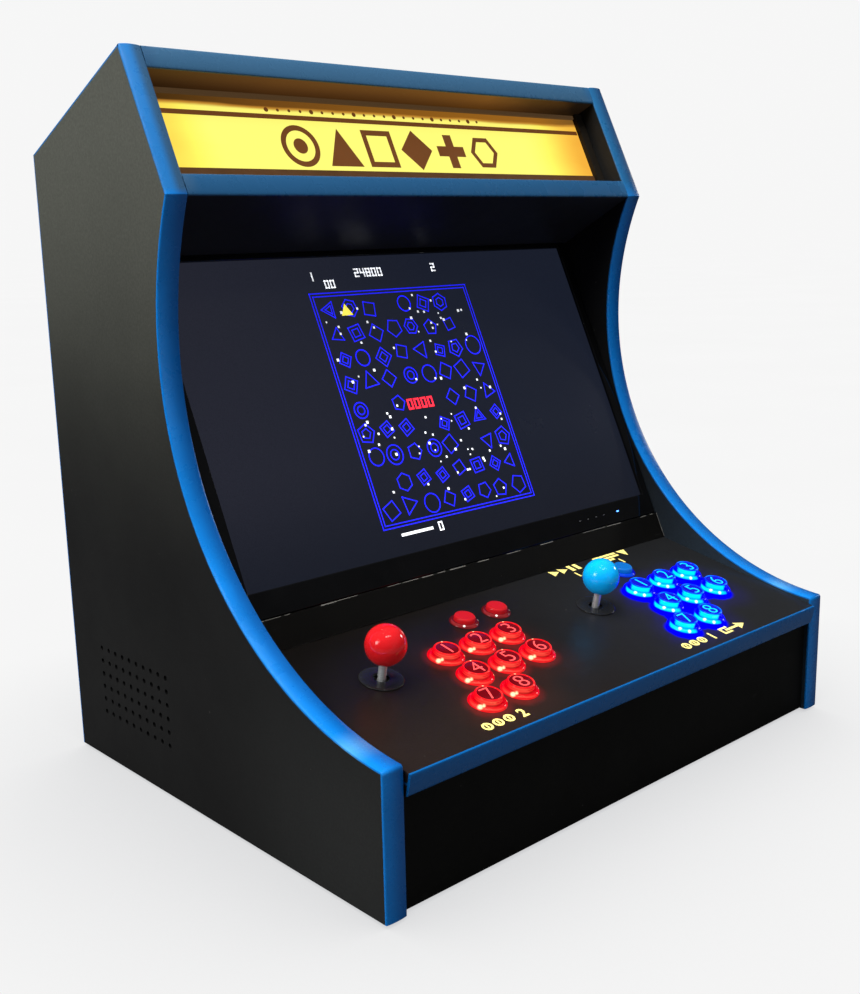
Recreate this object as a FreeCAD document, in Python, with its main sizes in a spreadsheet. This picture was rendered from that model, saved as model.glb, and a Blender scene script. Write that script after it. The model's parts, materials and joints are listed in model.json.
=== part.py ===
import FreeCAD, Part
import math
import os
import Sketcher
from FreeCAD import Vector, Rotation, Placement

# Bartop arcade cabinet.  Millimetres, +Z up, +Y to the back, +X to the right of
# somebody standing in front.  The origin is under the middle of the cabinet,
# at the level of the soles of its rubber feet.
# Most pieces are drawn in a tipped frame of their own: its X is the cabinet's,
# its Y runs up the board and its Z stands off the board's face.

doc = FreeCAD.newDocument("bartop_arcade_cabinet")
sheet = doc.addObject("Spreadsheet::Sheet", "Dimensions")

# ------------------------------------------------------------------ driving dimensions
# (alias, value); y is measured from the front edge and z from the table
DIMENSIONS = [
    # outline of the side panels; mid_depth is the origin's distance from the front edge
    ("cabinet_width", 590.0), ("side_thickness", 20.0), ("mid_depth", 228.75),
    ("foot_gap", 3.0), ("front_edge_top", 123.0), ("back_y", 463.0),
    ("marquee_low_y", 239.0), ("marquee_low_z", 525.0),
    ("marquee_top_y", 297.0), ("marquee_top_z", 643.0), ("back_top_z", 567.0),
    ("below_floor", -30.0),
    # T-moulding round the panel edges
    ("trim_cap", 2.5), ("trim_stem_depth", 6.0), ("trim_stem_width", 2.0),
    ("slot_depth", 7.0), ("slot_width", 2.2),
    # boards
    ("board", 19.0), ("thin_board", 15.0), ("fit_gap", 0.2), ("panel_gap", 1.5),
    ("deck_front_y", -5.5), ("deck_front_z", 115.5), ("deck_angle", 12.0),
    ("deck_length", 191.8),
    ("front_panel_y", 6.0), ("front_panel_low", 4.0), ("front_panel_high", 97.5),
    ("base_low", 15.0), ("base_front", 21.2), ("base_back", 440.5),
    # speaker grille
    ("vent_pitch", 12.7), ("vent_columns", 10.0), ("vent_rows", 6.0), ("vent_hole", 5.0),
    ("vent_first_y", 292.7), ("vent_first_z", 51.5),
    # monitor
    ("screen_y", 194.0), ("screen_z", 181.5), ("screen_angle", 65.0),
    ("picture_wide", 526.0), ("picture_tall", 296.3), ("chin", 23.7),
    ("monitor_wide", 547.0), ("monitor_tall", 329.0), ("bezel_thick", 3.0),
    ("shell_depth", 16.0), ("bulge_depth", 26.0), ("sill_tall", 28.3),
    # marquee
    ("soffit_angle", -28.5), ("soffit_deep", 102.0), ("top_angle", -24.6),
    ("top_long", 178.0), ("marquee_angle", 63.83), ("marquee_recess", 27.0),
    ("acrylic", 3.0), ("retainer", 11.3),
    # push buttons
    ("big_hole", 30.0), ("big_barrel", 29.8), ("big_bore", 24.16), ("big_plunger", 24.0),
    ("big_flange", 33.3), ("big_flange_tall", 3.4),
    ("small_hole", 24.0), ("small_barrel", 23.8), ("small_bore", 19.96),
    ("small_plunger", 19.8), ("small_flange", 28.0), ("small_flange_tall", 2.8),
    ("plunger_top", 8.8), ("small_plunger_top", 7.0), ("barrel_deep", 24.0),
    ("barrel_floor", 2.0), ("plunger_low", -14.0),
    # joysticks
    ("stick_x", -204.5), ("stick_shift", 269.0), ("stick_along", 114.4),
    ("ball_dia", 35.0), ("ball_tall", 31.5), ("shaft_dia", 7.0),
    ("pivot_deep", 12.0), ("pin_dia", 3.0), ("pin_gap", 0.05),
    ("washer_dia", 38.0), ("washer_hole", 13.4), ("washer_thick", 1.2),
    ("sleeve_outer", 27.4), ("sleeve_inner", 22.4),
    ("ring_outer", 21.0), ("ring_inner", 11.4), ("ring_tall", 5.0), ("stick_hole", 28.0),
    # rear door, its hinges and its latch
    ("door_low", 71.0), ("door_high", 470.0), ("rail_low_top", 70.5), ("rear_face", 456.0),
    ("leaf_thick", 1.5), ("pin_y", 458.5), ("pin_z", 70.75), ("knuckle_dia", 5.0),
    ("hinge_pin", 2.4), ("latch_z", 452.0), ("latch_spindle", 10.0),
]


def fill_sheet(entries, first_row=1):
    """Write (alias, text) entries to the sheet, one to a row."""
    for row, (alias, text) in enumerate(entries, start=first_row):
        sheet.set("A%d" % row, alias.replace("_", " "))
        sheet.set("B%d" % row, text)
        sheet.setAlias("B%d" % row, alias)
    doc.recompute()


fill_sheet([(alias, repr(value)) for alias, value in DIMENSIONS])


class Dim:
    """A number read from the sheet, carried together with its expression."""

    def __init__(self, value, text):
        self.value, self.text = float(value), text

    @staticmethod
    def wrap(other):
        return other if isinstance(other, Dim) else Dim(other, repr(float(other)))

    def __add__(self, other):
        other = Dim.wrap(other)
        return Dim(self.value + other.value, "(%s + %s)" % (self.text, other.text))

    def __sub__(self, other):
        other = Dim.wrap(other)
        return Dim(self.value - other.value, "(%s - %s)" % (self.text, other.text))

    def __rsub__(self, other):
        return Dim.wrap(other) - self

    def __mul__(self, other):
        other = Dim.wrap(other)
        return Dim(self.value * other.value, "(%s * %s)" % (self.text, other.text))

    def __truediv__(self, other):
        other = Dim.wrap(other)
        return Dim(self.value / other.value, "(%s / %s)" % (self.text, other.text))

    def __neg__(self):
        return Dim(-self.value, "(0 - %s)" % self.text)


def dim(alias):
    return Dim(sheet.get(alias), "Dimensions.%s" % alias)


def num(size):
    return size.value if isinstance(size, Dim) else float(size)


def bind(obj, prop, size):
    setattr(obj, prop, num(size))
    if isinstance(size, Dim):
        obj.setExpression(prop, size.text)


HALF_WIDTH = dim("cabinet_width") / 2
SIDE = dim("side_thickness")
INNER = HALF_WIDTH - SIDE              # inner face of a side panel
CLEAR = INNER - dim("fit_gap")         # end of a board fitted between the sides
DECK_HALF = INNER - dim("panel_gap")   # end of the control panel and the door
BOARD, THIN_BOARD = dim("board"), dim("thin_board")
REAR = dim("rear_face")
PIN_RADIUS = dim("pin_dia") / 2
PIN_HOLE_RADIUS = PIN_RADIUS + dim("pin_gap")
ALONG_X, ALONG_Y, ALONG_Z = Vector(1, 0, 0), Vector(0, 1, 0), Vector(0, 0, 1)


# ------------------------------------------------------------------ frames
def frame(y, z, angle):
    """Frame at (y, z) of the cabinet, tipped about X; y from the front edge."""
    return Placement(Vector(0, y - sheet.mid_depth, z), Rotation(ALONG_X, angle))


def at(x, y, z=0.0):
    return Placement(Vector(num(x), num(y), num(z)), Rotation())


def sunk(base, depth):
    """The frame moved down its own Z by depth."""
    return Placement(base.Base - base.Rotation.multVec(Vector(0, 0, depth)), base.Rotation)


CAB = frame(0, 0, 0)
DECK = frame(sheet.deck_front_y, sheet.deck_front_z, sheet.deck_angle)
SCREEN = frame(sheet.screen_y, sheet.screen_z, sheet.screen_angle)
MARQUEE = frame(sheet.marquee_low_y, sheet.marquee_low_z, sheet.marquee_angle)
SOFFIT = frame(sheet.marquee_low_y, sheet.marquee_low_z, sheet.soffit_angle)
TOP = frame(sheet.marquee_top_y, sheet.marquee_top_z, sheet.top_angle)
TOP_BOARD = sunk(TOP, 0.4)
ACRYLIC_FACE = sunk(MARQUEE, sheet.marquee_recess)
TO_CAB = CAB.inverse()

NODES = []


def keep(obj, label, placement=None):
    """Label an object, place it and list it for export."""
    obj.Label = label
    if placement is not None:
        obj.Placement = placement
    NODES.append(obj)


# ------------------------------------------------------------------ sketches
# Sketcher's numbers for a curve's points and for the sketch axes
START, END, CENTRE = 1, 2, 3
X_AXIS, Y_AXIS = -1, -2


def sketch(body, name, role="XY_Plane"):
    """Sketch on one of the body's origin planes."""
    sk = body.newObject("Sketcher::SketchObject", name)
    plane = [f for f in body.Origin.OriginFeatures if f.Role == role][0]
    sk.AttachmentSupport = [(plane, "")]
    sk.MapMode = "FlatFace"
    return sk


def constrain(sk, size, *what):
    """Add a constraint of the given size, bound to the sheet where it can be."""
    index = sk.addConstraint(Sketcher.Constraint(*what, num(size)))
    if isinstance(size, Dim):
        sk.setExpression("Constraints[%d]" % index, size.text)


def fix_point(sk, curve, point, x, y):
    for kind, axis, size in (("DistanceX", Y_AXIS, x), ("DistanceY", X_AXIS, y)):
        if abs(num(size)) < 1e-9:
            sk.addConstraint(Sketcher.Constraint("PointOnObject", curve, point, axis))
        else:
            constrain(sk, size, kind, X_AXIS, START, curve, point)


def outline(sk, corners, arcs=None):
    """Closed outline of fixed corners; arcs maps a segment's index to (radius, mid point)."""
    arcs = arcs or {}
    count = len(corners)
    points = [Vector(num(x), num(y), 0) for x, y in corners]
    curves, ends = [], []
    for i, first in enumerate(points):
        last = points[(i + 1) % count]
        if i in arcs:
            middle = Vector(*arcs[i][1], 0)
            curve = sk.addGeometry(Part.Arc(first, middle, last), False)
            # an arc is stored counter-clockwise, so its ends may be swapped
            forward = (sk.Geometry[curve].StartPoint - first).Length < 1e-4
        else:
            curve = sk.addGeometry(Part.LineSegment(first, last), False)
            forward = True
        curves.append(curve)
        ends.append((START, END) if forward else (END, START))
    for i in range(count):
        after = (i + 1) % count
        sk.addConstraint(Sketcher.Constraint(
            "Coincident", curves[i], ends[i][1], curves[after], ends[after][0]))
    for i, (x, y) in enumerate(corners):
        fix_point(sk, curves[i], ends[i][0], x, y)
    for i, (radius, _) in arcs.items():
        constrain(sk, radius, "Radius", curves[i])


def rectangle(sk, low, high):
    (x0, y0), (x1, y1) = low, high
    outline(sk, [(x0, y0), (x1, y0), (x1, y1), (x0, y1)])


def circle(sk, x, y, radius):
    centre = Vector(num(x), num(y), 0)
    curve = sk.addGeometry(Part.Circle(centre, ALONG_Z, num(radius)), False)
    fix_point(sk, curve, CENTRE, x, y)
    constrain(sk, radius, "Radius", curve)


# ------------------------------------------------------------------ bodies
def new_body(name):
    return doc.addObject("PartDesign::Body", name)


def pad(body, sk, length, name, down=False):
    feature = body.newObject("PartDesign::Pad", name)
    feature.Profile = sk
    bind(feature, "Length", length)
    feature.Reversed = down
    sk.Visibility = False
    doc.recompute()


def pocket(body, sk, depth, name, flip=False):
    """Cut the sketch to a depth, or right through when depth is None."""
    feature = body.newObject("PartDesign::Pocket", name)
    feature.Profile = sk
    if depth is None:
        feature.Type = 1
    else:
        bind(feature, "Length", depth)
    feature.Reversed = flip
    before = body.Shape.Volume
    doc.recompute()
    if not feature.Shape.Volume < before - 1e-3:
        raise RuntimeError("pocket %s cuts nothing" % name)


def pad_rectangle(body, sketch_name, pad_name, low, high, thick, down=False, role="XY_Plane"):
    sk = sketch(body, sketch_name, role)
    rectangle(sk, low, high)
    pad(body, sk, thick, pad_name, down)


def cut_rectangle(body, sketch_name, pocket_name, low, high, depth=None, role="XY_Plane"):
    sk = sketch(body, sketch_name, role)
    rectangle(sk, low, high)
    pocket(body, sk, depth, pocket_name)


def plate(label, low, high, thick, placement, down=False, role="XY_Plane"):
    """A plain rectangular board or sheet, kept as a piece."""
    body = new_body(label)
    pad_rectangle(body, label + "_outline", label + "_pad", low, high, thick, down, role)
    keep(body, label, placement)


def turned(label, corners):
    """Solid of revolution about local Z from a profile of (radius, height) corners."""
    body = new_body(label)
    sk = sketch(body, label + "_profile", "XZ_Plane")
    outline(sk, corners)
    turn = body.newObject("PartDesign::Revolution", label + "_turn")
    turn.Profile = sk
    turn.ReferenceAxis = (sk, ["V_Axis"])
    turn.Angle = 360.0
    doc.recompute()
    return body


# ------------------------------------------------------------------ Part solids
def box(name, low, high, base=None):
    """Box between two (x, y, z) corners, in the cabinet-level axes or in a base frame."""
    solid = doc.addObject("Part::Box", name)
    for prop, start, stop in zip(("Length", "Width", "Height"), low, high):
        bind(solid, prop, stop - start)
    solid.Placement = at(*low)
    if base is not None:
        solid.Placement = base * solid.Placement
        return solid
    for axis, start in zip("xyz", low):
        if isinstance(start, Dim):
            solid.setExpression("Placement.Base.%s" % axis, start.text)
    return solid


def cylinder(name, radius, length, foot, axis=ALONG_Z):
    """Cylinder from the centre of its foot, along an axis."""
    solid = doc.addObject("Part::Cylinder", name)
    bind(solid, "Radius", radius)
    bind(solid, "Height", length)
    solid.Placement = Placement(Vector(*[num(c) for c in foot]), Rotation(ALONG_Z, axis))
    return solid


def cut(name, base, tool):
    feature = doc.addObject("Part::Cut", name)
    feature.Base, feature.Tool = base, tool
    return feature


def fuse(name, solids):
    feature = doc.addObject("Part::MultiFuse", name)
    feature.Shapes = list(solids)
    return feature


def compound(name, solids):
    feature = doc.addObject("Part::Compound", name)
    feature.Links = list(solids)
    return feature


def extrude(name, source, length, x0):
    """Extrude a side-view sketch or line along +X, starting at x0."""
    feature = doc.addObject("Part::Extrusion", name)
    feature.Base = source
    feature.DirMode = "Custom"
    feature.Dir = ALONG_X
    bind(feature, "LengthFwd", length)
    feature.Solid = True
    feature.Placement = at(x0, 0)
    return feature


def link(name, master, placement):
    copy = doc.addObject("App::Link", name)
    copy.LinkedObject = master
    copy.LinkTransform = False
    copy.Placement = placement
    return copy


def copies(label, master, places, placement):
    """One piece made of identical solids: links to a master, gathered in a compound."""
    links = [link("%s_%d" % (label, i), master, place) for i, place in enumerate(places, 1)]
    keep(compound(label, links), label, placement)


# ------------------------------------------------------------------ side outline
# The front edge rises to the control panel, sweeps back and up in a long hollow
# curve past the screen, meets the sloping marquee front, then the sloping top.
CURVE_ARCS = 7
CURVE_POLES = [(0.0, sheet.front_edge_top), (193.0, 136.0), (325.0, 332.0),
               (sheet.marquee_low_y, sheet.marquee_low_z)]


def curve_point(t):
    """Point (y, z) of the cubic Bezier curve through CURVE_POLES' ends."""
    weights = ((1 - t) ** 3, 3 * t * (1 - t) ** 2, 3 * t * t * (1 - t), t ** 3)
    return tuple(sum(w * pole[i] for w, pole in zip(weights, CURVE_POLES)) for i in (0, 1))


def curve_chain():
    """The curve as arcs, each through three of its points: (start, radius, mid point)."""
    chain = []
    for i in range(CURVE_ARCS):
        t0, t1 = i / CURVE_ARCS, (i + 1) / CURVE_ARCS
        start, middle, end = curve_point(t0), curve_point((t0 + t1) / 2), curve_point(t1)
        sides = math.dist(end, middle) * math.dist(end, start) * math.dist(middle, start)
        area = abs((middle[0] - start[0]) * (end[1] - start[1])
                   - (end[0] - start[0]) * (middle[1] - start[1])) / 2
        chain.append((start, sides / (4 * area), middle))
    return chain


def side_view_sketch(name):
    """Sketch whose X and Y are the cabinet's Y and Z."""
    sk = doc.addObject("Sketcher::SketchObject", name)
    sk.Placement = Placement(Vector(0, 0, 0), Rotation(ALONG_Y, ALONG_Z, ALONG_X, "XYZ"))
    return sk


def side_outline():
    chain = curve_chain()
    entries = []
    for i, (start, radius, _) in enumerate(chain):
        if i > 0:
            entries.append(("curve_y_%d" % i, "%.6f" % start[0]))
            entries.append(("curve_z_%d" % i, "%.6f" % start[1]))
        entries.append(("curve_radius_%d" % i, "%.6f" % radius))
    fill_sheet(entries, len(DIMENSIONS) + 1)

    corners = [(0.0, dim("below_floor")), (0.0, dim("front_edge_top"))]
    corners += [(dim("curve_y_%d" % i), dim("curve_z_%d" % i)) for i in range(1, CURVE_ARCS)]
    corners += [(dim("marquee_low_y"), dim("marquee_low_z")),
                (dim("marquee_top_y"), dim("marquee_top_z")),
                (dim("back_y"), dim("back_top_z")), (dim("back_y"), dim("below_floor"))]
    arcs = {i + 1: (dim("curve_radius_%d" % i), middle)
            for i, (_, _, middle) in enumerate(chain)}
    sk = side_view_sketch("side_outline")
    outline(sk, corners, arcs)
    doc.recompute()
    return sk


def inset(name, source, amount):
    """The outline moved inwards, its corners kept sharp."""
    offset = doc.addObject("Part::Offset2D", name)
    offset.Source = source
    bind(offset, "Value", -amount)
    offset.Join = 2
    offset.Mode = 1
    offset.Fill = False
    return offset


# ------------------------------------------------------------------ side panels, edge trims
def vent_sketch():
    vents = side_view_sketch("vent_holes")
    pitch = dim("vent_pitch")
    for column in range(int(sheet.vent_columns)):
        for row in range(int(sheet.vent_rows)):
            circle(vents, dim("vent_first_y") + pitch * column,
                   dim("vent_first_z") + pitch * row, dim("vent_hole") / 2)
    doc.recompute()
    return vents


def band(name, prefix, side, outer, inner, width, x0):
    """Closed band between two lines, centred in the panel that starts at x0."""
    start = x0 + (SIDE - width) / 2
    return cut("%s_%s" % (name, side),
               extrude("%s_outer_%s" % (prefix, side), outer, width, start),
               extrude("%s_inner_%s" % (prefix, side), inner, width + 2, start - 1))


def build_sides():
    profile = side_outline()
    cap = dim("trim_cap")
    cap_line = inset("panel_edge_line", profile, cap)
    stem_line = inset("stem_line", profile, cap + dim("trim_stem_depth"))
    slot_line = inset("slot_line", profile, cap + dim("slot_depth"))
    doc.recompute()
    # trims the outline, which runs below the table, to the panels' lower edge
    floor_box = box("under_floor", (-400, -50, dim("below_floor") - 20),
                    (400, 600, dim("foot_gap")))
    vents = vent_sketch()

    trims = []
    for side, x0 in (("left", -HALF_WIDTH), ("right", INNER)):
        board = extrude("board_%s" % side, cap_line, SIDE, x0)
        slot = band("slot", "slot", side, cap_line, slot_line, dim("slot_width"), x0)
        slotted = cut("slotted_%s" % side, board, slot)
        floored = cut("floored_%s" % side, slotted, floor_box)
        pegs = extrude("vent_pegs_%s" % side, vents, SIDE + 4, x0 - 2)
        panel = "side_panel_%s" % side
        keep(cut(panel, floored, pegs), panel, CAB)

        rim = band("trim_cap", "trim", side, profile, cap_line, SIDE, x0)
        stem = band("stem", "stem", side, cap_line, stem_line, dim("trim_stem_width"), x0)
        whole = fuse("trim_whole_%s" % side, [rim, stem])
        trims.append(cut("edge_trim_%s" % side, whole, floor_box))
    doc.recompute()
    keep(compound("edge_trims", trims), "edge_trims", CAB)


# ------------------------------------------------------------------ flat boards
def build_plain_boards():
    plate("base_panel", (-CLEAR, dim("base_front")), (CLEAR, dim("base_back")), BOARD,
          CAB * at(0, 0, sheet.base_low))
    plate("front_panel", (-CLEAR, dim("front_panel_low")), (CLEAR, dim("front_panel_high")),
          THIN_BOARD, CAB * at(0, sheet.front_panel_y), down=True, role="XZ_Plane")
    # riser between control panel and monitor
    plate("monitor_sill", (-CLEAR, -dim("sill_tall")), (CLEAR, -0.4), THIN_BOARD, SCREEN,
          down=True)


def cut_edge_groove(body, prefix, half_width, centre):
    """Groove for the T-moulding's stem along a board's front edge."""
    half_slot = dim("slot_width") / 2
    cut_rectangle(body, prefix + "_groove", prefix + "_groove_cut",
                  (-half_width - 1, centre - half_slot), (half_width + 1, centre + half_slot),
                  dim("trim_cap") + dim("slot_depth"), "XZ_Plane")


# (x, y) of each button in the control panel's frame
BUTTONS = {
    "big": {
        "red_button_1": (-131.6, 115.1), "red_button_2": (-94.0, 115.0),
        "red_button_3": (-56.4, 115.0), "red_button_4": (-132.6, 78.5),
        "red_button_5": (-94.7, 78.4), "red_button_6": (-56.4, 78.4),
        "red_button_7": (-153.0, 43.2), "red_button_8": (-115.4, 43.2),
        "blue_button_1": (135.3, 116.3), "blue_button_2": (174.6, 117.3),
        "blue_button_3": (214.6, 118.0), "blue_button_4": (134.3, 80.0),
        "blue_button_5": (172.4, 80.4), "blue_button_6": (213.0, 80.8),
        "blue_button_7": (111.8, 44.1), "blue_button_8": (150.3, 43.6),
    },
    "small": {
        "red_button_start": (-72.9, 154.0), "red_button_select": (-31.4, 154.2),
        "blue_button_start": (112.1, 154.1), "blue_button_select": (153.6, 154.1),
    },
}
STICKS = {
    "left": (dim("stick_x"), dim("stick_along")),
    "right": (dim("stick_x") + dim("stick_shift"), dim("stick_along")),
}
STICK_PLACES = [at(x, y) for x, y in STICKS.values()]


def build_control_panel():
    deck = new_body("control_panel")
    pad_rectangle(deck, "deck_outline", "deck_board", (-DECK_HALF, dim("trim_cap")),
                  (DECK_HALF, dim("deck_length")), BOARD, down=True)
    holes = sketch(deck, "deck_holes")
    for size, spots in BUTTONS.items():
        for x, y in spots.values():
            circle(holes, x, y, dim(size + "_hole") / 2)
    for x, y in STICKS.values():
        circle(holes, x, y, dim("stick_hole") / 2)
    pocket(deck, holes, None, "deck_drilling")
    cut_edge_groove(deck, "deck", DECK_HALF, -BOARD / 2)
    keep(deck, "control_panel", DECK)


def build_grooved_board(label, prefix, length, placement, down):
    """Board between the sides with a groove in its front edge."""
    body = new_body(label)
    pad_rectangle(body, prefix + "_outline", prefix + "_board", (-CLEAR, dim("trim_cap")),
                  (CLEAR, length), BOARD, down)
    cut_edge_groove(body, prefix, CLEAR, -BOARD / 2 if down else BOARD / 2)
    keep(body, label, placement)


def straight_trim(name, half_width, centre, placement):
    """T-moulding for a board whose mid thickness lies at local height centre."""
    body = new_body(name)
    section = sketch(body, name + "_section", "YZ_Plane")
    half_stem = dim("trim_stem_width") / 2
    low, high = centre - BOARD / 2, centre + BOARD / 2
    cap = dim("trim_cap")
    tip = cap + dim("trim_stem_depth")
    outline(section, [(0.0, low), (cap, low), (cap, centre - half_stem),
                      (tip, centre - half_stem), (tip, centre + half_stem),
                      (cap, centre + half_stem), (cap, high), (0.0, high)])
    pad(body, section, half_width * 2, name + "_pad")
    body.Placement = placement * at(-half_width, 0)
    return body


def build_panel_trims():
    trims = [
        straight_trim("trim_control_panel", DECK_HALF, -BOARD / 2, DECK),
        straight_trim("trim_soffit", CLEAR, BOARD / 2, SOFFIT),
        straight_trim("trim_top", CLEAR, -BOARD / 2, TOP_BOARD),
    ]
    keep(compound("panel_trims", trims), "panel_trims")


# ------------------------------------------------------------------ monitor
def build_monitor():
    picture_half, chin = dim("picture_wide") / 2, dim("chin")
    picture_top = chin + dim("picture_tall")
    low = (-dim("monitor_wide") / 2, 0.2)
    high = (dim("monitor_wide") / 2, dim("monitor_tall"))
    bezel_sunk = 0.5
    behind_bezel = sunk(SCREEN, bezel_sunk + sheet.bezel_thick)
    screen_overlap, screen_thick = 3, 5.0    # the screen reaches past the picture
    hollow_overlap = 3.3
    wall = 3
    bulge_half, bulge_low, bulge_high = 190, 60, 270

    bezel = new_body("monitor_bezel")
    pad_rectangle(bezel, "bezel_outline", "bezel_plate", low, high, dim("bezel_thick"),
                  down=True)
    cut_rectangle(bezel, "picture_opening", "picture_cut",
                  (-picture_half, chin), (picture_half, picture_top))
    keep(bezel, "monitor_bezel", sunk(SCREEN, bezel_sunk))

    plate("monitor_screen", (-(picture_half + screen_overlap), chin - screen_overlap),
          (picture_half + screen_overlap, picture_top + screen_overlap), screen_thick,
          behind_bezel, down=True)

    # tray with a deeper bulge in the middle, both hollowed from the front
    shell = new_body("monitor_rear_shell")
    depth = dim("shell_depth")
    full_depth = depth + dim("bulge_depth")
    pad_rectangle(shell, "shell_outline", "shell_tray", low, high, depth, down=True)
    pad_rectangle(shell, "shell_bulge", "shell_bulge_pad", (-bulge_half, bulge_low),
                  (bulge_half, bulge_high), full_depth, down=True)
    cut_rectangle(shell, "shell_hollow", "shell_hollow_cut",
                  (-(picture_half + hollow_overlap), chin - hollow_overlap),
                  (picture_half + hollow_overlap, picture_top + hollow_overlap),
                  depth - wall)
    cut_rectangle(shell, "shell_bulge_hollow", "shell_bulge_cut",
                  (-(bulge_half - wall), bulge_low + wall),
                  (bulge_half - wall, bulge_high - wall), full_depth - wall)
    keep(shell, "monitor_rear_shell", behind_bezel)


# ------------------------------------------------------------------ marquee
def build_marquee():
    low, high = 20.0, 111.0    # the acrylic's edges, measured up the marquee front
    half = CLEAR - 0.3
    plate("marquee_panel", (-half, low), (half, high), dim("acrylic"), ACRYLIC_FACE, down=True)

    # strips lying on the acrylic's front face
    strip_low = 0.1
    side_edge = CLEAR - dim("retainer")
    between = side_edge - 0.1
    strips = [
        box("retainer_left", (-CLEAR, low, strip_low), (-side_edge, high, 5.1)),
        box("retainer_right", (side_edge, low, strip_low), (CLEAR, high, 5.1)),
        box("retainer_low", (-between, low, strip_low), (between, 38.0, 1.6)),
        box("retainer_high", (-between, 106.0, strip_low), (between, 110.0, 2.6)),
    ]
    keep(compound("marquee_retainers", strips), "marquee_retainers", ACRYLIC_FACE)

    # tube lamp standing on the soffit, between two end blocks
    lamp_end, tube_end = 235, 230
    lamp = [
        box("lamp_base", (-lamp_end, 58.0, 19.1), (lamp_end, 80.0, 27.0)),
        cylinder("lamp_tube", 6.0, 2 * tube_end, (-tube_end, 69.0, 33.1), ALONG_X),
        box("lamp_end_a", (-lamp_end, 60.0, 27.0), (-tube_end, 78.0, 42.0)),
        box("lamp_end_b", (tube_end, 60.0, 27.0), (lamp_end, 78.0, 42.0)),
    ]
    keep(fuse("marquee_light", lamp), "marquee_light", SOFFIT)


# ------------------------------------------------------------------ rear rails and door
def build_rails():
    rail_front = REAR - THIN_BOARD
    rail_high_top = 547.6
    low = box("rail_low", (-CLEAR, rail_front, dim("foot_gap") + 1),
              (CLEAR, REAR, dim("rail_low_top")))
    inlet_hole = box("inlet_hole", (232.0, 430.0, 40.0), (262.0, 470.0, 62.0))
    low = cut("rail_low_cut", low, inlet_hole)
    high = box("rail_high", (-CLEAR, rail_front, dim("door_high") + 1),
               (CLEAR, REAR, rail_high_top))
    keep(compound("rear_rails", [low, high]), "rear_rails", CAB)


def build_door():
    slot_count, slot_pitch, slot_tall, first_slot = 8, 10.0, 5.0, 330.0
    slot_inner, slot_outer = 30.0, 150.0
    door = new_body("rear_door")
    pad_rectangle(door, "door_outline", "door_board", (-DECK_HALF, dim("door_low")),
                  (DECK_HALF, dim("door_high")), THIN_BOARD, role="XZ_Plane")
    openings = sketch(door, "door_openings", "XZ_Plane")
    circle(openings, 0.0, dim("latch_z"), dim("latch_spindle") / 2 + dim("pin_gap"))
    for i in range(slot_count):
        low = first_slot + slot_pitch * i
        for left, right in ((-slot_outer, -slot_inner), (slot_inner, slot_outer)):
            rectangle(openings, (left, low), (right, low + slot_tall))
    pocket(door, openings, None, "door_cuts", flip=True)
    keep(door, "rear_door", CAB * at(0, sheet.rear_face))


# ------------------------------------------------------------------ door hinges
# Each hinge has two outer knuckles on the frame leaf and one middle knuckle on
# the door leaf.  The frame leaf carries the pin and the door leaf is bored for it.
HINGES_X = (-190.0, 190.0)
LEAF_HALF = 30.0                    # along X
LEAF_REACH = 24                     # from the pin to the leaf's far edge
OUTER_KNUCKLES = ((-LEAF_HALF, -10.1), (10.1, LEAF_HALF))
MIDDLE_HALF = 9.8
LEAF_SCREWS_X = (-20.0, 20.0)
LEAF_SCREW_REACH = 14               # from the pin, along Z
PIN_Y, PIN_Z = dim("pin_y"), dim("pin_z")
KNUCKLE_RADIUS, HINGE_PIN_RADIUS = dim("knuckle_dia") / 2, dim("hinge_pin") / 2
LEAF_BACK = REAR + dim("leaf_thick")
WEB_BACK = PIN_Y - 1.2              # a web joins a knuckle to its leaf


def leaf_holes(prefix, n, hinge_x, z):
    return [cylinder("%s_%d_%d" % (prefix, n, m), 2.1, 8.0, (hinge_x + dx, 453.0, z), ALONG_Y)
            for m, dx in enumerate(LEAF_SCREWS_X)]


def frame_leaf(n, hinge_x):
    solids = [box("frame_leaf_%d" % n, (hinge_x - LEAF_HALF, REAR, PIN_Z - LEAF_REACH),
                  (hinge_x + LEAF_HALF, LEAF_BACK, PIN_Z - 0.5))]
    for m, (start, stop) in enumerate(OUTER_KNUCKLES):
        solids.append(cylinder("frame_knuckle_%d_%d" % (n, m), KNUCKLE_RADIUS, stop - start,
                               (hinge_x + start, PIN_Y, PIN_Z), ALONG_X))
        solids.append(box("frame_web_%d_%d" % (n, m), (hinge_x + start, REAR, PIN_Z - 2.4),
                          (hinge_x + stop, WEB_BACK, PIN_Z - 0.3)))
    solids.append(cylinder("hinge_pin_%d" % n, HINGE_PIN_RADIUS, 2 * LEAF_HALF,
                           (hinge_x - LEAF_HALF, PIN_Y, PIN_Z), ALONG_X))
    whole = fuse("frame_leaf_whole_%d" % n, solids)
    holes = leaf_holes("frame_leaf_hole", n, hinge_x, PIN_Z - LEAF_SCREW_REACH)
    drilled = cut("frame_leaf_cut_%d" % n, whole, compound("frame_leaf_holes_%d" % n, holes))
    # room for the door leaf's knuckle, leaving the pin whole
    block = box("mid_block_%d" % n, (hinge_x - 9.9, 455.0, PIN_Z - 3.2),
                (hinge_x + 9.9, PIN_Y + 4, PIN_Z + 3.2))
    pin = cylinder("pin_keep_%d" % n, HINGE_PIN_RADIUS, 30.0,
                   (hinge_x - 15, PIN_Y, PIN_Z), ALONG_X)
    return cut("frame_leaf_final_%d" % n, drilled, cut("mid_clear_%d" % n, block, pin))


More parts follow.
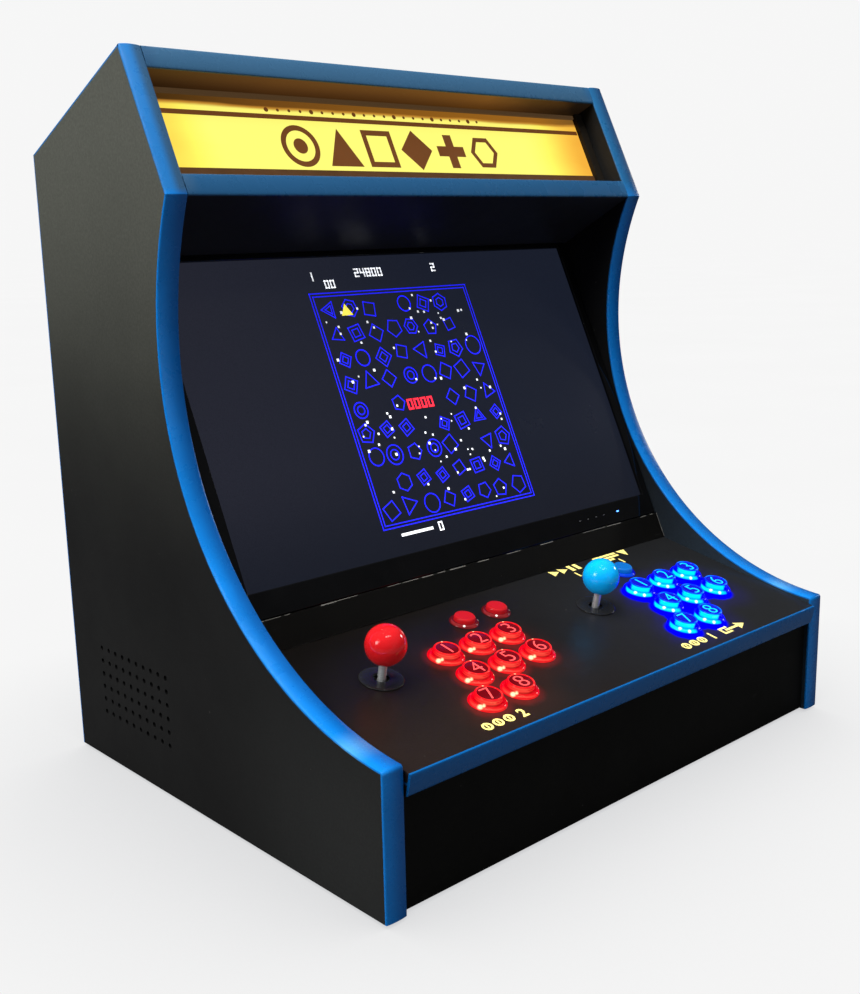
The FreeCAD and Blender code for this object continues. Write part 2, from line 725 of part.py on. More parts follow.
def door_leaf(n, hinge_x):
    leaf = box("door_leaf_%d" % n, (hinge_x - LEAF_HALF, REAR, PIN_Z + 0.5),
               (hinge_x + LEAF_HALF, LEAF_BACK, PIN_Z + LEAF_REACH))
    # room for the frame leaf's knuckles
    tools = [box("door_relief_%d_%d" % (n, m), (hinge_x + start, REAR - 1, PIN_Z),
                 (hinge_x + stop, PIN_Y + 4, PIN_Z + 3.2))
             for m, (start, stop) in enumerate(((-31.0, -9.9), (9.9, 31.0)))]
    knuckle = cylinder("door_knuckle_%d" % n, KNUCKLE_RADIUS, 2 * MIDDLE_HALF,
                       (hinge_x - MIDDLE_HALF, PIN_Y, PIN_Z), ALONG_X)
    web = box("door_web_%d" % n, (hinge_x - MIDDLE_HALF, REAR, PIN_Z + 0.3),
              (hinge_x + MIDDLE_HALF, WEB_BACK, PIN_Z + 2.4))
    whole = fuse("door_leaf_whole_%d" % n, [leaf, knuckle, web])
    tools.append(cylinder("door_bore_%d" % n, HINGE_PIN_RADIUS + dim("pin_gap"), 70.0,
                          (hinge_x - 35, PIN_Y, PIN_Z), ALONG_X))
    tools += leaf_holes("door_leaf_hole", n, hinge_x, PIN_Z + LEAF_SCREW_REACH)
    return cut("door_leaf_cut_%d" % n, whole, compound("door_leaf_tools_%d" % n, tools))


def build_hinges():
    for label, make_leaf in (("door_hinge_frame_leaves", frame_leaf),
                             ("door_hinge_door_leaves", door_leaf)):
        leaves = [make_leaf(n, hinge_x) for n, hinge_x in enumerate(HINGES_X)]
        keep(compound(label, leaves), label, CAB)


def build_latch():
    """Turn latch in the door: knob and grip outside, spindle through, cam inside."""
    z = dim("latch_z")
    solids = [
        cylinder("latch_knob", 9.0, 2.6, (0, REAR + 0.3, z), ALONG_Y),
        box("latch_grip", (-8.0, REAR + 2.5, z - 1.6), (8.0, REAR + 6.7, z + 1.6)),
        cylinder("latch_spindle_rod", dim("latch_spindle") / 2, 24.0, (0, REAR - 21, z),
                 ALONG_Y),
        # the cam lies sideways, unlatched
        box("latch_cam", (-6.0, REAR - 20.5, z - 6), (34.0, REAR - 18.0, z + 6)),
    ]
    keep(fuse("door_turn_latch", solids), "door_turn_latch", CAB)


# ------------------------------------------------------------------ push buttons
def housing_master(size):
    """Flanged barrel with a floor, open at the top."""
    bore, barrel = dim(size + "_bore") / 2, dim(size + "_barrel") / 2
    flange, top = dim(size + "_flange") / 2, dim(size + "_flange_tall")
    bottom = -dim("barrel_deep")
    floor = bottom + dim("barrel_floor")
    seat = 0.05    # the flange's height off the board
    return turned(size + "_button_housing_master", [
        (bore, top - 0.6), (bore + 0.6, top), (bore + 2.2, top), (flange - 0.7, 1.3),
        (flange, 0.5), (flange, seat), (barrel, seat), (barrel, bottom), (0.0, bottom),
        (0.0, floor), (bore, floor)])


def build_housings():
    masters = {size: housing_master(size) for size in BUTTONS}
    for colour in ("red", "blue"):
        links = [link(name + "_housing", masters[size], at(x, y))
                 for size, spots in BUTTONS.items()
                 for name, (x, y) in spots.items() if name.startswith(colour)]
        label = "%s_button_housings" % colour
        keep(compound(label, links), label, DECK)


def build_plungers():
    """Plungers with a drawn-in head, a rolled rim and a shallow sunk top."""
    low = dim("plunger_low")
    for size, top_alias in (("big", "plunger_top"), ("small", "small_plunger_top")):
        radius, top = dim(size + "_plunger") / 2, dim(top_alias)
        for name, (x, y) in BUTTONS[size].items():
            body = turned(name, [
                (0.0, low), (radius, low), (radius, top - 1.7), (radius - 0.25, top - 0.7),
                (radius - 0.8, top - 0.1), (radius - 1.2, top), (radius - 1.7, top - 0.2),
                (radius - 2.0, top - 0.8), (0.0, top - 0.8)])
            keep(body, name, DECK * at(x, y))


def build_microswitches():
    """One switch under every button and four round each joystick shaft."""
    button_switch = fuse("button_switch_master", [
        box("switch_case", (-14.0, -5.1, -38.0), (14.0, 5.1, -24.2)),
        box("switch_lug_a", (-11.0, -3.0, -43.0), (-10.2, 3.0, -38.0)),
        box("switch_lug_b", (9.0, -3.0, -43.0), (9.8, 3.0, -38.0)),
        cylinder("switch_lamp", 3.0, 3.0, (0, 0, -41.0)),
    ])
    stick_switch = fuse("stick_switch_master", [
        box("stick_switch_case", (-10.0, 12.4, -52.0), (10.0, 18.8, -41.9)),
        box("stick_switch_lug", (-7.0, 18.8, -48.0), (7.0, 22.0, -47.2)),
    ])
    doc.recompute()
    links = [link(name + "_switch", button_switch, at(x, y))
             for spots in BUTTONS.values() for name, (x, y) in spots.items()]
    for side, (x, y) in STICKS.items():
        for quarter in range(4):
            links.append(link("%s_stick_switch_%d" % (side, quarter), stick_switch,
                              Placement(at(x, y).Base, Rotation(ALONG_Z, 90 * quarter))))
    keep(compound("microswitches", links), "microswitches", DECK)


# ------------------------------------------------------------------ joysticks
PIVOT_Z = -sheet.pivot_deep
# screws of a joystick's plate, (x, y) from the shaft
STICK_SCREWS = ((-20, -42), (20, -42), (-20, 42), (20, 42))
PLATE_LOW = -20.7


def build_stick_bases():
    """Mounting plate with a sleeve above it and a square case below, bored through."""
    solids = [
        box("stick_plate", (-26.5, -48.5, PLATE_LOW), (26.5, 48.5, -19.1)),
        cylinder("stick_sleeve", dim("sleeve_outer") / 2, 15.7, (0, 0, PLATE_LOW)),
        box("stick_case", (-23.0, -23.0, -41.8), (23.0, 23.0, PLATE_LOW)),
    ]
    whole = fuse("stick_base_sum", solids)
    tools = [
        cylinder("stick_bore", dim("sleeve_inner") / 2, 40.0, (0, 0, -43.0)),
        cylinder("stick_pin_holes", PIN_HOLE_RADIUS, 40.0, (-20.0, 0, PIVOT_Z), ALONG_X),
    ]
    tools += [cylinder("stick_screw_hole_%d" % i, 2.2, 10.0, (x, y, -25.0))
              for i, (x, y) in enumerate(STICK_SCREWS)]
    master = cut("stick_base_master", whole, compound("stick_base_tools", tools))
    doc.recompute()
    copies("joystick_bases", master, STICK_PLACES, DECK)


def build_washers():
    inner, outer = dim("washer_hole") / 2, dim("washer_dia") / 2
    top = dim("washer_thick")
    master = turned("washer_master", [
        (inner, 0.05), (outer - 0.5, 0.05), (outer, 0.5), (outer - 0.4, top), (inner, top)])
    copies("joystick_washers", master, STICK_PLACES, DECK)


def build_pivot_ring(side, place):
    """Ring that turns about X on two trunnions, drilled along Y for the shaft's pin."""
    tall = dim("ring_tall")
    whole = fuse("ring_sum_%s" % side, [
        cylinder("ring_body_%s" % side, dim("ring_outer") / 2, tall,
                 (0, 0, PIVOT_Z - tall.value / 2)),
        cylinder("ring_trunnions_%s" % side, PIN_RADIUS, 26.4, (-13.2, 0, PIVOT_Z), ALONG_X),
    ])
    tools = [
        cylinder("ring_bore_%s" % side, dim("ring_inner") / 2, 20.0, (0, 0, PIVOT_Z - 10)),
        cylinder("ring_pin_holes_%s" % side, PIN_HOLE_RADIUS, 30.0, (0, -15.0, PIVOT_Z),
                 ALONG_Y),
    ]
    label = "joystick_%s_pivot_ring" % side
    keep(cut(label, whole, compound("ring_tools_%s" % side, tools)), label, place)


def build_shaft(side, place):
    """Straight shaft with a wide foot, a thinner upper end and a cross pin."""
    radius, foot, thin = dim("shaft_dia") / 2, 6.0, 2.9
    shoulder, top = dim("ball_tall") - 13.0, dim("ball_tall") + 4
    rod = turned("shaft_rod_%s" % side, [
        (0.0, -50.0), (foot, -50.0), (foot, -44.8), (5.0, -43.8), (radius, -43.8),
        (radius, shoulder), (thin, shoulder), (thin, top), (0.0, top)])
    pin = cylinder("shaft_pin_%s" % side, PIN_RADIUS, 20.6, (0, -10.3, PIVOT_Z), ALONG_Y)
    label = "joystick_%s_shaft" % side
    keep(fuse(label, [rod, pin]), label, place)


def build_ball(side, place):
    """Ball top with a flat underside, bored in two steps for the shaft."""
    centre = sheet.ball_tall
    ball = doc.addObject("Part::Sphere", "ball_%s" % side)
    bind(ball, "Radius", dim("ball_dia") / 2)
    ball.Placement = at(0, 0, centre)
    tools = [
        cylinder("ball_bore_%s" % side, 2.95, 18.0, (0, 0, centre - 13.9)),
        cylinder("ball_seat_%s" % side, dim("shaft_dia") / 2 + 0.05, 5.0,
                 (0, 0, centre - 17.9)),
        box("ball_flat_%s" % side, (-20, -20, centre - 20), (20, 20, centre - 15.9)),
    ]
    label = "joystick_%s_ball" % side
    keep(cut(label, ball, compound("ball_tools_%s" % side, tools)), label, place)


def build_joysticks():
    build_stick_bases()
    build_washers()
    for side, (x, y) in STICKS.items():
        place = DECK * at(x, y)
        build_pivot_ring(side, place)
        build_shaft(side, place)
        build_ball(side, place)
    doc.recompute()


# ------------------------------------------------------------------ sound, boards, power
BASE_TOP = sheet.base_low + sheet.board

# (radius, height) with the cone's open side facing low heights
SPEAKER_PROFILE = [
    (0.0, 14.0), (10.0, 12.0), (34.0, 3.0), (38.0, 1.5), (46.0, 1.5), (46.0, 5.0),
    (40.0, 6.0), (24.0, 24.0), (24.0, 26.0), (22.5, 26.0), (22.5, 42.0), (0.0, 42.0)]


def build_speakers():
    """A speaker behind each side panel's grille, facing outwards."""
    zero_x = INNER.value + 1.1    # where the profile's zero height falls
    master = turned("speaker_master", SPEAKER_PROFILE)
    places = [Placement(Vector(sign * zero_x, 349.9, 83.3),
                        Rotation(ALONG_Z, Vector(-sign, 0, 0))) for sign in (-1, 1)]
    copies("speakers", master, places, CAB)


def board_posts(prefix, radius, height, xs, ys):
    """Four posts under a circuit board, standing on the base panel."""
    spots = [(x, y) for y in ys for x in xs]
    return [cylinder("%s_%d" % (prefix, i), radius, height, (x, y, BASE_TOP + 0.02))
            for i, (x, y) in enumerate(spots)]


# blocks on the computer board: x0, y0, x1, y1, height above the board
COMPUTER_BLOCKS = (
    (-116, 304, -96, 318, 15.0), (-90, 304, -76, 318, 13.0), (-70, 320, -50, 340, 4.0),
    (-45, 350, -25, 366, 3.0), (-110, 345, -80, 366, 10.0))


def build_computer():
    top = BASE_TOP + 7.6
    parts = [box("board_pcb", (-120.0, 300.0, BASE_TOP + 6), (-20.0, 370.0, top))]
    for i, (x0, y0, x1, y1, tall) in enumerate(COMPUTER_BLOCKS):
        parts.append(box("board_block_%d" % i, (x0, y0, BASE_TOP + 7.5), (x1, y1, top + tall)))
    parts += board_posts("board_post", 2.6, 6.0, (-116, -24), (304, 366))
    keep(fuse("computer_board", parts), "computer_board", CAB)


# solids of an encoder board: name, x0, y0, z0, x1, y1, z1
# with x from the board's left edge and z from the base panel's top
ENCODER_PARTS = (
    ("pcb", 0, 60.0, 4, 90, 95.0, 5.6),
    ("plug", 4, 64.0, 5.5, 16, 76.0, 16),
    ("chip", 40, 72.0, 5.5, 58, 84.0, 8.4),
    ("sockets", 22, 88.0, 5.5, 84, 93.0, 12))


def build_encoders():
    boards = []
    for n, left in enumerate((-150.0, 60.0)):
        parts = [box("encoder_%s_%d" % (name, n), (left + x0, y0, BASE_TOP + z0),
                     (left + x1, y1, BASE_TOP + z1))
                 for name, x0, y0, z0, x1, y1, z1 in ENCODER_PARTS]
        parts += board_posts("encoder_post_%d" % n, 2.2, 4.0, (left + 4, left + 86),
                             (62.6, 92.4))
        boards.append(fuse("encoder_board_%d" % n, parts))
    keep(compound("encoder_boards", boards), "encoder_boards", CAB)


def build_power():
    """Supply box on the base panel and the mains inlet in the lower rear rail."""
    case = box("psu_case", (90.0, 300.0, BASE_TOP + 0.05), (190.0, 400.0, BASE_TOP + 38))
    inlet = fuse("power_inlet", [
        box("inlet_face", (229.0, 456.05, 37.0), (265.0, 458.4, 65.0)),
        box("inlet_body", (232.3, 434.0, 40.3), (261.7, 456.1, 61.7))])
    recess = box("inlet_recess", (236.0, 446.0, 44.0), (258.0, 460.0, 58.0))
    inlet = cut("power_inlet_cut", inlet, recess)
    keep(compound("power_supply", [case, inlet]), "power_supply", CAB)


# ------------------------------------------------------------------ feet, battens, screws
def build_feet():
    master = turned("foot_master", [
        (0.0, 0.0), (13.0, 0.0), (14.5, 1.5), (16.0, 14.9), (0.0, 14.9)])
    spots = [at(x, y) for y in (60.0, 400.0) for x in (-225.0, 225.0)]
    copies("rubber_feet", master, spots, CAB)


# battens along both side panels: name, frame, y0, z0, y1, z1 in that frame
SIDE_BATTENS = (
    ("deck_batten", DECK, 26.0, -37.2, 172.0, -19.2),
    ("monitor_batten", SCREEN, 4.0, -38.0, 322.0, -19.8),
    ("top_batten", TOP, 34.0, -38.0, 150.0, -19.7),
    ("base_batten", CAB, 40.0, 4.0, 425.0, 14.8))


def build_battens():
    outer = INNER - 0.3
    inner = outer - 18
    battens = []
    for side, x0, x1 in (("left", -outer, -inner), ("right", inner, outer)):
        for name, base, y0, z0, y1, z1 in SIDE_BATTENS:
            battens.append(box("%s_%s" % (name, side), (x0, y0, z0), (x1, y1, z1),
                               TO_CAB * base))
    # crosswise, behind the acrylic's lower edge
    half = CLEAR - 20
    acrylic_back = dim("marquee_recess") + dim("acrylic")
    battens.append(box("acrylic_batten", (-half, 20.0, -(acrylic_back + 12.2)),
                       (half, 29.0, -(acrylic_back + 0.2)), TO_CAB * MARQUEE))
    keep(compound("frame_battens", battens), "frame_battens", CAB)


def build_screws():
    """Pan-head screws in the joystick plates and the hinges' frame leaves."""
    # the shank points along local -Z, the head's underside is at zero
    master = turned("screw_master", [
        (0.0, -9.0), (1.5, -7.5), (1.5, 0.0), (3.6, 0.0), (3.6, 1.2), (2.4, 2.3), (0.0, 2.3)])
    clearance = 0.02
    shank_up = Rotation(ALONG_X, 180)
    shank_to_front = Rotation(ALONG_Z, ALONG_Y)
    places = []
    for x, y in STICKS.values():
        for dx, dy in STICK_SCREWS:
            spot = Vector(x.value + dx, y.value + dy, PLATE_LOW - clearance)
            places.append(TO_CAB * DECK * Placement(spot, shank_up))
    for hinge_x in HINGES_X:
        for dx in LEAF_SCREWS_X:
            spot = Vector(hinge_x + dx, LEAF_BACK.value + clearance,
                          PIN_Z.value - LEAF_SCREW_REACH)
            places.append(Placement(spot, shank_to_front))
    copies("screws", master, places, CAB)


# ------------------------------------------------------------------ wiring
# cable name, radius, (x, y, z) points along its middle line
CABLES = (
    ("cable_mains", 3.2,
     [(247, 432.5, 51), (246, 418, 50), (235, 392, 48), (214, 368, 46), (192.0, 360, 46)]),
    ("cable_board_power", 1.8,
     [(89.5, 350, 48), (60, 350, 44), (20, 335, 40), (-10, 325, 41), (-19.0, 322, 43.5)]),
    ("cable_usb_left", 2.0,
     [(-106, 303.5, 50), (-106, 270, 46), (-125, 180, 38.5), (-140, 110, 40),
      (-140, 76.8, 46)]),
    ("cable_usb_right", 2.0,
     [(-83, 303.5, 50), (-80, 262, 44), (-10, 190, 38.5), (60, 110, 40), (70, 76.8, 46)]),
    ("cable_speaker_left", 1.3,
     [(-120.8, 340, 50), (-160, 345, 48), (-200, 350, 60), (-226, 350, 83),
      (-231.5, 350, 83.3)]),
    ("cable_loom_left", 2.6,
     [(-110, 93.8, 45), (-110, 105, 50), (-112, 112, 62), (-115, 112, 70)]),
    ("cable_loom_right", 2.6,
     [(110, 93.8, 45), (110, 105, 50), (112, 112, 62), (115, 112, 70)]),
)


def cable(name, radius, points):
    """Round cable along a smooth line through the given points."""
    curve = Part.BSplineCurve()
    curve.interpolate([Vector(*p) for p in points])
    spine = doc.addObject("Part::Feature", name + "_line")
    spine.Shape = Part.Wire([curve.toShape()])
    direction = curve.tangent(curve.FirstParameter)[0]
    section = doc.addObject("Part::Feature", name + "_round")
    section.Shape = Part.Wire([Part.Circle(Vector(*points[0]), direction, radius).toShape()])
    sweep = doc.addObject("Part::Sweep", name)
    sweep.Sections = [section]
    sweep.Spine = (spine, ["Edge1"])
    sweep.Solid = True
    sweep.Frenet = False
    return sweep


def build_wiring():
    keep(compound("wiring_harness", [cable(*entry) for entry in CABLES]),
         "wiring_harness", CAB)


# ------------------------------------------------------------------ build
build_sides()
build_plain_boards()
build_control_panel()
# from the lower marquee edge down to the top of the monitor
build_grooved_board("marquee_soffit", "soffit", dim("soffit_deep"), SOFFIT, down=False)
build_grooved_board("top_panel", "top", dim("top_long"), TOP_BOARD, down=True)
build_panel_trims()
build_monitor()
build_marquee()
build_rails()
build_door()
build_hinges()
build_latch()
build_housings()
build_plungers()
build_microswitches()
build_joysticks()
build_speakers()
build_computer()
build_encoders()
build_power()
build_feet()
build_battens()
build_screws()
build_wiring()

# ------------------------------------------------------------------ checks and export
doc.recompute()
bad = [(o.Name, o.State) for o in doc.Objects if "Invalid" in o.State or "Error" in o.State]
for node in NODES:
    if node.Shape.isNull() or not node.Shape.isValid():
        bad.append((node.Label, "shape"))
    if len(node.Shape.Solids) == 0:
        bad.append((node.Label, "no solid"))
if bad:
    raise RuntimeError("failed objects: %s" % bad)

os.makedirs("parts", exist_ok=True)
for node in NODES:
    node.Shape.exportStep("parts/%s.step" % node.Label)
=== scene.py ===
"""Two-player bartop arcade cabinet: black board sides with blue moulding, a sloping control
deck with two ball-top joysticks and lit push buttons, a tilted monitor and a lit marquee.

World: metres, +Z up, the front faces -Y, X runs across and 0 is the middle in X and depth.
Shapes are given in mm. The side outline's y counts back from the front foot. Shader
positions, and the sizes compared with them, are in metres.
"""
import bpy
import bmesh
import json
import math
import random
from mathutils import Matrix, Vector
from mathutils.geometry import tessellate_polygon


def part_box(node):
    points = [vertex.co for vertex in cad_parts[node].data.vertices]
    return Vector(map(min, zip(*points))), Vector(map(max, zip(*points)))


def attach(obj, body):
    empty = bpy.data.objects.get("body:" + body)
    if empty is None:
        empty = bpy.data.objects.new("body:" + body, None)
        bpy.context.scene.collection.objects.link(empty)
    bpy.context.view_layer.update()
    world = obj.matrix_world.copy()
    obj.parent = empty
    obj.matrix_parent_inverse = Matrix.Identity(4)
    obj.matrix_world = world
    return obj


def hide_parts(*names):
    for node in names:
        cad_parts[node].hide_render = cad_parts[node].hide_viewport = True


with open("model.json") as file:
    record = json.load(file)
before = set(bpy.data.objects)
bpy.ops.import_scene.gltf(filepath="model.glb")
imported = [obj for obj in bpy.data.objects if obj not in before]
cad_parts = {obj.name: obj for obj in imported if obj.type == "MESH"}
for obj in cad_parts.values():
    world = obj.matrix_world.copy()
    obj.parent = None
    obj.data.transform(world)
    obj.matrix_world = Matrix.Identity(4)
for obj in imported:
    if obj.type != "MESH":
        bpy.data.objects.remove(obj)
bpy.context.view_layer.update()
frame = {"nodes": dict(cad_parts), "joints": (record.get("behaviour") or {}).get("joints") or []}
JOINTS = {joint["name"]: joint for joint in frame["joints"]}

# ------------------------------------------------------------------ driving sizes, mm and degrees
MM = 0.001
MID_DEPTH = 228.75
BOARD = 19.0
DECK_TILT = 12.0
HEAD_LOW = (239.0, 525.0)      # (y, z) of the head's lower front corner
HEAD_TOP = (297.0, 643.0)      # (y, z) of the head's upper front corner
BACK_TOP = (463.0, 567.0)      # (y, z) of the upper back corner
PLUNGER_DEPTH = 14.0           # plunger below the deck
CAP_LARGE, CAP_SMALL = 8.8, 7.0   # height of a button above the deck
PIVOT_DEPTH = 12.0             # joystick pivot below the deck


def tipped(corner, degrees, lift=0.0):
    """Frame across the cabinet, tipped back about X through a (y, z) corner."""
    y, z = corner
    place = Matrix.Translation((0, (y - MID_DEPTH) * MM, z * MM))
    turn = Matrix.Rotation(math.radians(degrees), 4, "X")
    return place @ turn @ Matrix.Translation((0, 0, lift * MM))


def at(matrix, x, y, z):
    return matrix @ Matrix.Translation((x * MM, y * MM, z * MM))


DECK = tipped((-5.5, 115.5), DECK_TILT)
SCREEN = tipped((194.0, 181.5), 65.0)
SOFFIT = tipped(HEAD_LOW, -28.5)
TOP = tipped(HEAD_TOP, -24.6, lift=-0.4)
BEZEL_FACE = at(SCREEN, 0, 0, -0.5)
PICTURE = at(SCREEN, 0, 0, -3.5)
MARQUEE = at(tipped(HEAD_LOW, 63.83), 0, 0, -27.0)

# ------------------------------------------------------------------ button places, metres
PRESSES = [joint for joint in frame["joints"] if joint["name"].endswith("_press")]
BUTTONS = [joint["child"] for joint in PRESSES]
DECK_UP = -Vector(PRESSES[0]["axis"]).normalized()


def is_small(button):
    return button.endswith(("start", "select"))


def button_place(button):
    """Where a button's axis meets the deck."""
    low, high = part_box(button)
    cap = CAP_SMALL if is_small(button) else CAP_LARGE
    return (low + high) / 2 + DECK_UP * ((PLUNGER_DEPTH - cap) / 2 * MM)


PLACES = {button: button_place(button) for button in BUTTONS}


# ------------------------------------------------------------------ shader graph
def math_method(operation, swapped=False):
    """Method that makes a Math node of a field and what it is combined with."""
    def combine(self, *others):
        values = (self, *others)
        return self.graph.math(operation, *(values[::-1] if swapped else values))
    return combine


class Field:
    """A node output that can be combined like a number."""
    __add__ = math_method("ADD")
    __sub__ = math_method("SUBTRACT")
    __rsub__ = math_method("SUBTRACT", swapped=True)
    __mul__ = math_method("MULTIPLY")
    __pow__ = math_method("POWER")
    __abs__ = math_method("ABSOLUTE")
    sine = math_method("SINE")
    sign = math_method("SIGN")
    maximum = math_method("MAXIMUM")
    minimum = math_method("MINIMUM")

    def __init__(self, graph, socket):
        self.graph = graph
        self.socket = socket

    def clamped(self):
        """Limits the result of a Math node to 0..1."""
        self.socket.node.use_clamp = True
        return self

    def span(self, start, end, to=(0.0, 1.0)):
        """Straight change between the values of `to` as the field goes from start to end."""
        return self.graph.field("MapRange", {"Value": self, "From Min": start, "From Max": end,
                                             "To Min": to[0], "To Max": to[1]})

    def soft(self, start, end):
        """Smooth 0 to 1 as the field goes from start to end."""
        return self.graph.field("MapRange", {"Value": self, "From Min": start, "From Max": end},
                                interpolation_type="SMOOTHSTEP")


class Graph:
    """Adds nodes to one node tree."""
    def __init__(self, tree, output):
        tree.nodes.clear()
        self.tree = tree
        self.output = self.node(output)

    def feed(self, socket, value):
        if isinstance(value, Field):
            self.tree.links.new(value.socket, socket)
        elif socket.type == "RGBA":
            socket.default_value = (*value, 1)
        else:
            socket.default_value = value

    def node(self, kind, inputs=None, **settings):
        node = self.tree.nodes.new("ShaderNode" + kind)
        for key, value in settings.items():
            setattr(node, key, value)
        for key, value in (inputs or {}).items():
            self.feed(node.inputs[key], value)
        return node

    def field(self, kind, inputs=None, output=0, **settings):
        return Field(self, self.node(kind, inputs, **settings).outputs[output])

    def finish(self, shader):
        self.feed(self.output.inputs["Surface"], shader)

    def set(self, inputs):
        """Sets or links inputs of the Principled shader."""
        for key, value in inputs.items():
            self.feed(self.principled.inputs[key], value)

    def linked(self, key):
        return Field(self, self.principled.inputs[key].links[0].from_socket)

    def math(self, operation, *values):
        return self.field("Math", dict(enumerate(values)), operation=operation)

    def vector(self, operation, *values):
        output = 1 if operation in ("DOT_PRODUCT", "DISTANCE", "LENGTH") else 0
        return self.field("VectorMath", dict(enumerate(values)), output, operation=operation)

    def coord(self, kind="Object"):
        return self.field("TexCoord", output=kind)

    def geometry(self, output):
        return self.field("NewGeometry", output=output)

    def axes(self, vector):
        node = self.node("SeparateXYZ", {0: vector})
        return [Field(self, output) for output in node.outputs]

    def mapping(self, vector, scale, turn=(0, 0, 0)):
        return self.field("Mapping", {"Vector": vector, "Scale": scale, "Rotation": turn})

    def noise(self, vector, scale, detail=4.0, rough=0.55, warp=0.0):
        return self.field("TexNoise", {"Vector": vector, "Scale": scale, "Detail": detail,
                                       "Roughness": rough, "Distortion": warp}, output="Fac")

    def mix(self, factor, first, second, mode="MIX"):
        return self.field("Mix", {0: factor, 6: first, 7: second}, output=2,
                          data_type="RGBA", blend_type=mode) if self.set_mix_type() else None

    def set_mix_type(self):
        return True

    def ramp(self, factor, stops):
        """Colour ramp; stops are (position, colour)."""
        node = self.node("ValToRGB", {"Fac": factor})
        elements = node.color_ramp.elements
        while len(elements) > 1:
            elements.remove(elements[-1])
        elements[0].position = stops[0][0]
        elements[0].color = (*stops[0][1], 1)
        for position, colour in stops[1:]:
            elements.new(position).color = (*colour, 1)
        return Field(self, node.outputs["Color"])

    def bump(self, height, strength, distance=0.0002, under=None):
        inputs = {"Height": height, "Strength": strength, "Distance": distance}
        if under is not None:
            inputs["Normal"] = under
        return self.field("Bump", inputs)

    def camera_only(self, shown, other):
        """One value as the camera sees it, another for the light it throws."""
        ray = self.field("LightPath", output="Is Camera Ray")
        return self.field("Mix", {0: ray, 2: other, 3: shown}, data_type="FLOAT")

    def edge_mask(self, radius, start, end):
        """1 along outside edges, 0 on flats, from true against rounded normals."""
        rounded_normal = self.field("Bevel", {"Radius": radius}, samples=4)
        true_normal = self.geometry("Normal")
        return (1.0 - self.vector("DOT_PRODUCT", rounded_normal, true_normal)).span(start, end)


MATERIALS = {}


def material_graph(name):
    material = bpy.data.materials.new(name)
    material.use_nodes = True
    MATERIALS[name] = material
    return Graph(material.node_tree, "OutputMaterial")


def principled_graph(name):
    g = material_graph(name)
    g.principled = g.node("BsdfPrincipled")
    g.finish(Field(g, g.principled.outputs["BSDF"]))
    return g


def scaled(colour, factor, add=0.0):
    return tuple(min(1.0, c * factor + add) for c in colour)


# ------------------------------------------------------------------ kinds of material
def laminate(name, base=(0.0082, 0.0083, 0.0085), rough=0.46, spec=0.20, painted_light_pairs=None):
    """Satin laminate: fine pebble, cloudy sheen, dust specks, paler rubbed edges.
    The tints function, called with (graph, position), gives (factor, colour) pairs of painted
    light and shade that are laid over the base."""
    g = principled_graph(name)
    v = g.coord()
    cloud = g.noise(v, scale=5.0, detail=5, rough=0.6, warp=0.6)
    fine = g.noise(v, scale=420.0, detail=3, rough=0.6)
    pebble = g.noise(v, scale=1500.0, detail=2, rough=0.5)
    colour = g.mix(cloud.span(0.3, 0.75), scaled(base, 0.85), scaled(base, 1.2))
    for factor, painted_colour in (painted_light_pairs(g, v) if painted_light_pairs else ()):
        colour = g.mix(factor, colour, painted_colour)
    grain = g.mix(fine.span(0.35, 0.75), (0.86, 0.86, 0.86), (1.22, 1.22, 1.22))
    colour = g.mix(1.0, colour, grain, "MULTIPLY")
    dust = g.noise(v, scale=260.0, detail=1, rough=0.3)
    colour = g.mix(dust.span(0.80, 0.835, to=(0, 0.35)), colour, (0.10, 0.095, 0.088))
    stretched = g.mapping(v, scale=(1.0, 26.0, 2.0), turn=(0.5, 0.2, 0.9))
    scratches = g.noise(stretched, scale=34.0, detail=2, rough=0.4)
    colour = g.mix(scratches.span(0.72, 0.80, to=(0, 0.10)), colour, (0.09, 0.09, 0.09))
    patches = g.noise(v, scale=60.0, detail=3).span(0.40, 0.7)
    worn = (g.edge_mask(radius=0.0009, start=0.03, end=0.25) * patches).clamped()
    colour = g.mix(worn * 0.30, colour, (0.06, 0.058, 0.056))
    sheen = g.noise(v, scale=14.0, detail=6, rough=0.65)
    pebble_bump = g.bump(pebble, strength=0.10, distance=0.00012)
    g.set({"Base Color": colour,
           "Roughness": sheen.span(0.3, 0.7, to=(rough - 0.06, rough + 0.06)),
           "Specular IOR Level": spec,
           "Normal": g.bump(fine, strength=0.06, under=pebble_bump)})
    return g


def plastic(name, base, rough=0.25, spec=0.5, coat=0.0, grain=0.03, vary=0.12,
            glow=None, glow_power=0.0):
    """Plain plastic: cloudy colour, faint scratches, uneven gloss, optional glow."""
    g = principled_graph(name)
    v = g.coord()
    cloud = g.noise(v, scale=26.0, warp=0.3)
    colour = g.mix(cloud.span(0.3, 0.7), scaled(base, 1 - vary), scaled(base, 1 + vary))
    stretched = g.mapping(v, scale=(1.0, 14.0, 3.0), turn=(0.3, 0.5, 0.2))
    scratches = g.noise(stretched, scale=160.0, detail=2, rough=0.5)
    colour = g.mix(scratches.span(0.66, 0.8, to=(0, 0.12)), colour, scaled(base, 1.8, add=0.03))
    gloss = g.noise(v, scale=55.0, detail=5, rough=0.6)
    g.set({"Base Color": colour,
           "Roughness": gloss.span(0.3, 0.7, to=(rough * 0.8, rough * 1.25)),
           "Specular IOR Level": spec,
           "Coat Weight": coat,
           "Coat Roughness": 0.06,
           "Normal": g.bump(g.noise(v, scale=900.0, detail=2, rough=0.5), grain, 0.0001)})
    if glow:
        g.set({"Emission Color": glow, "Emission Strength": glow_power})
    return g


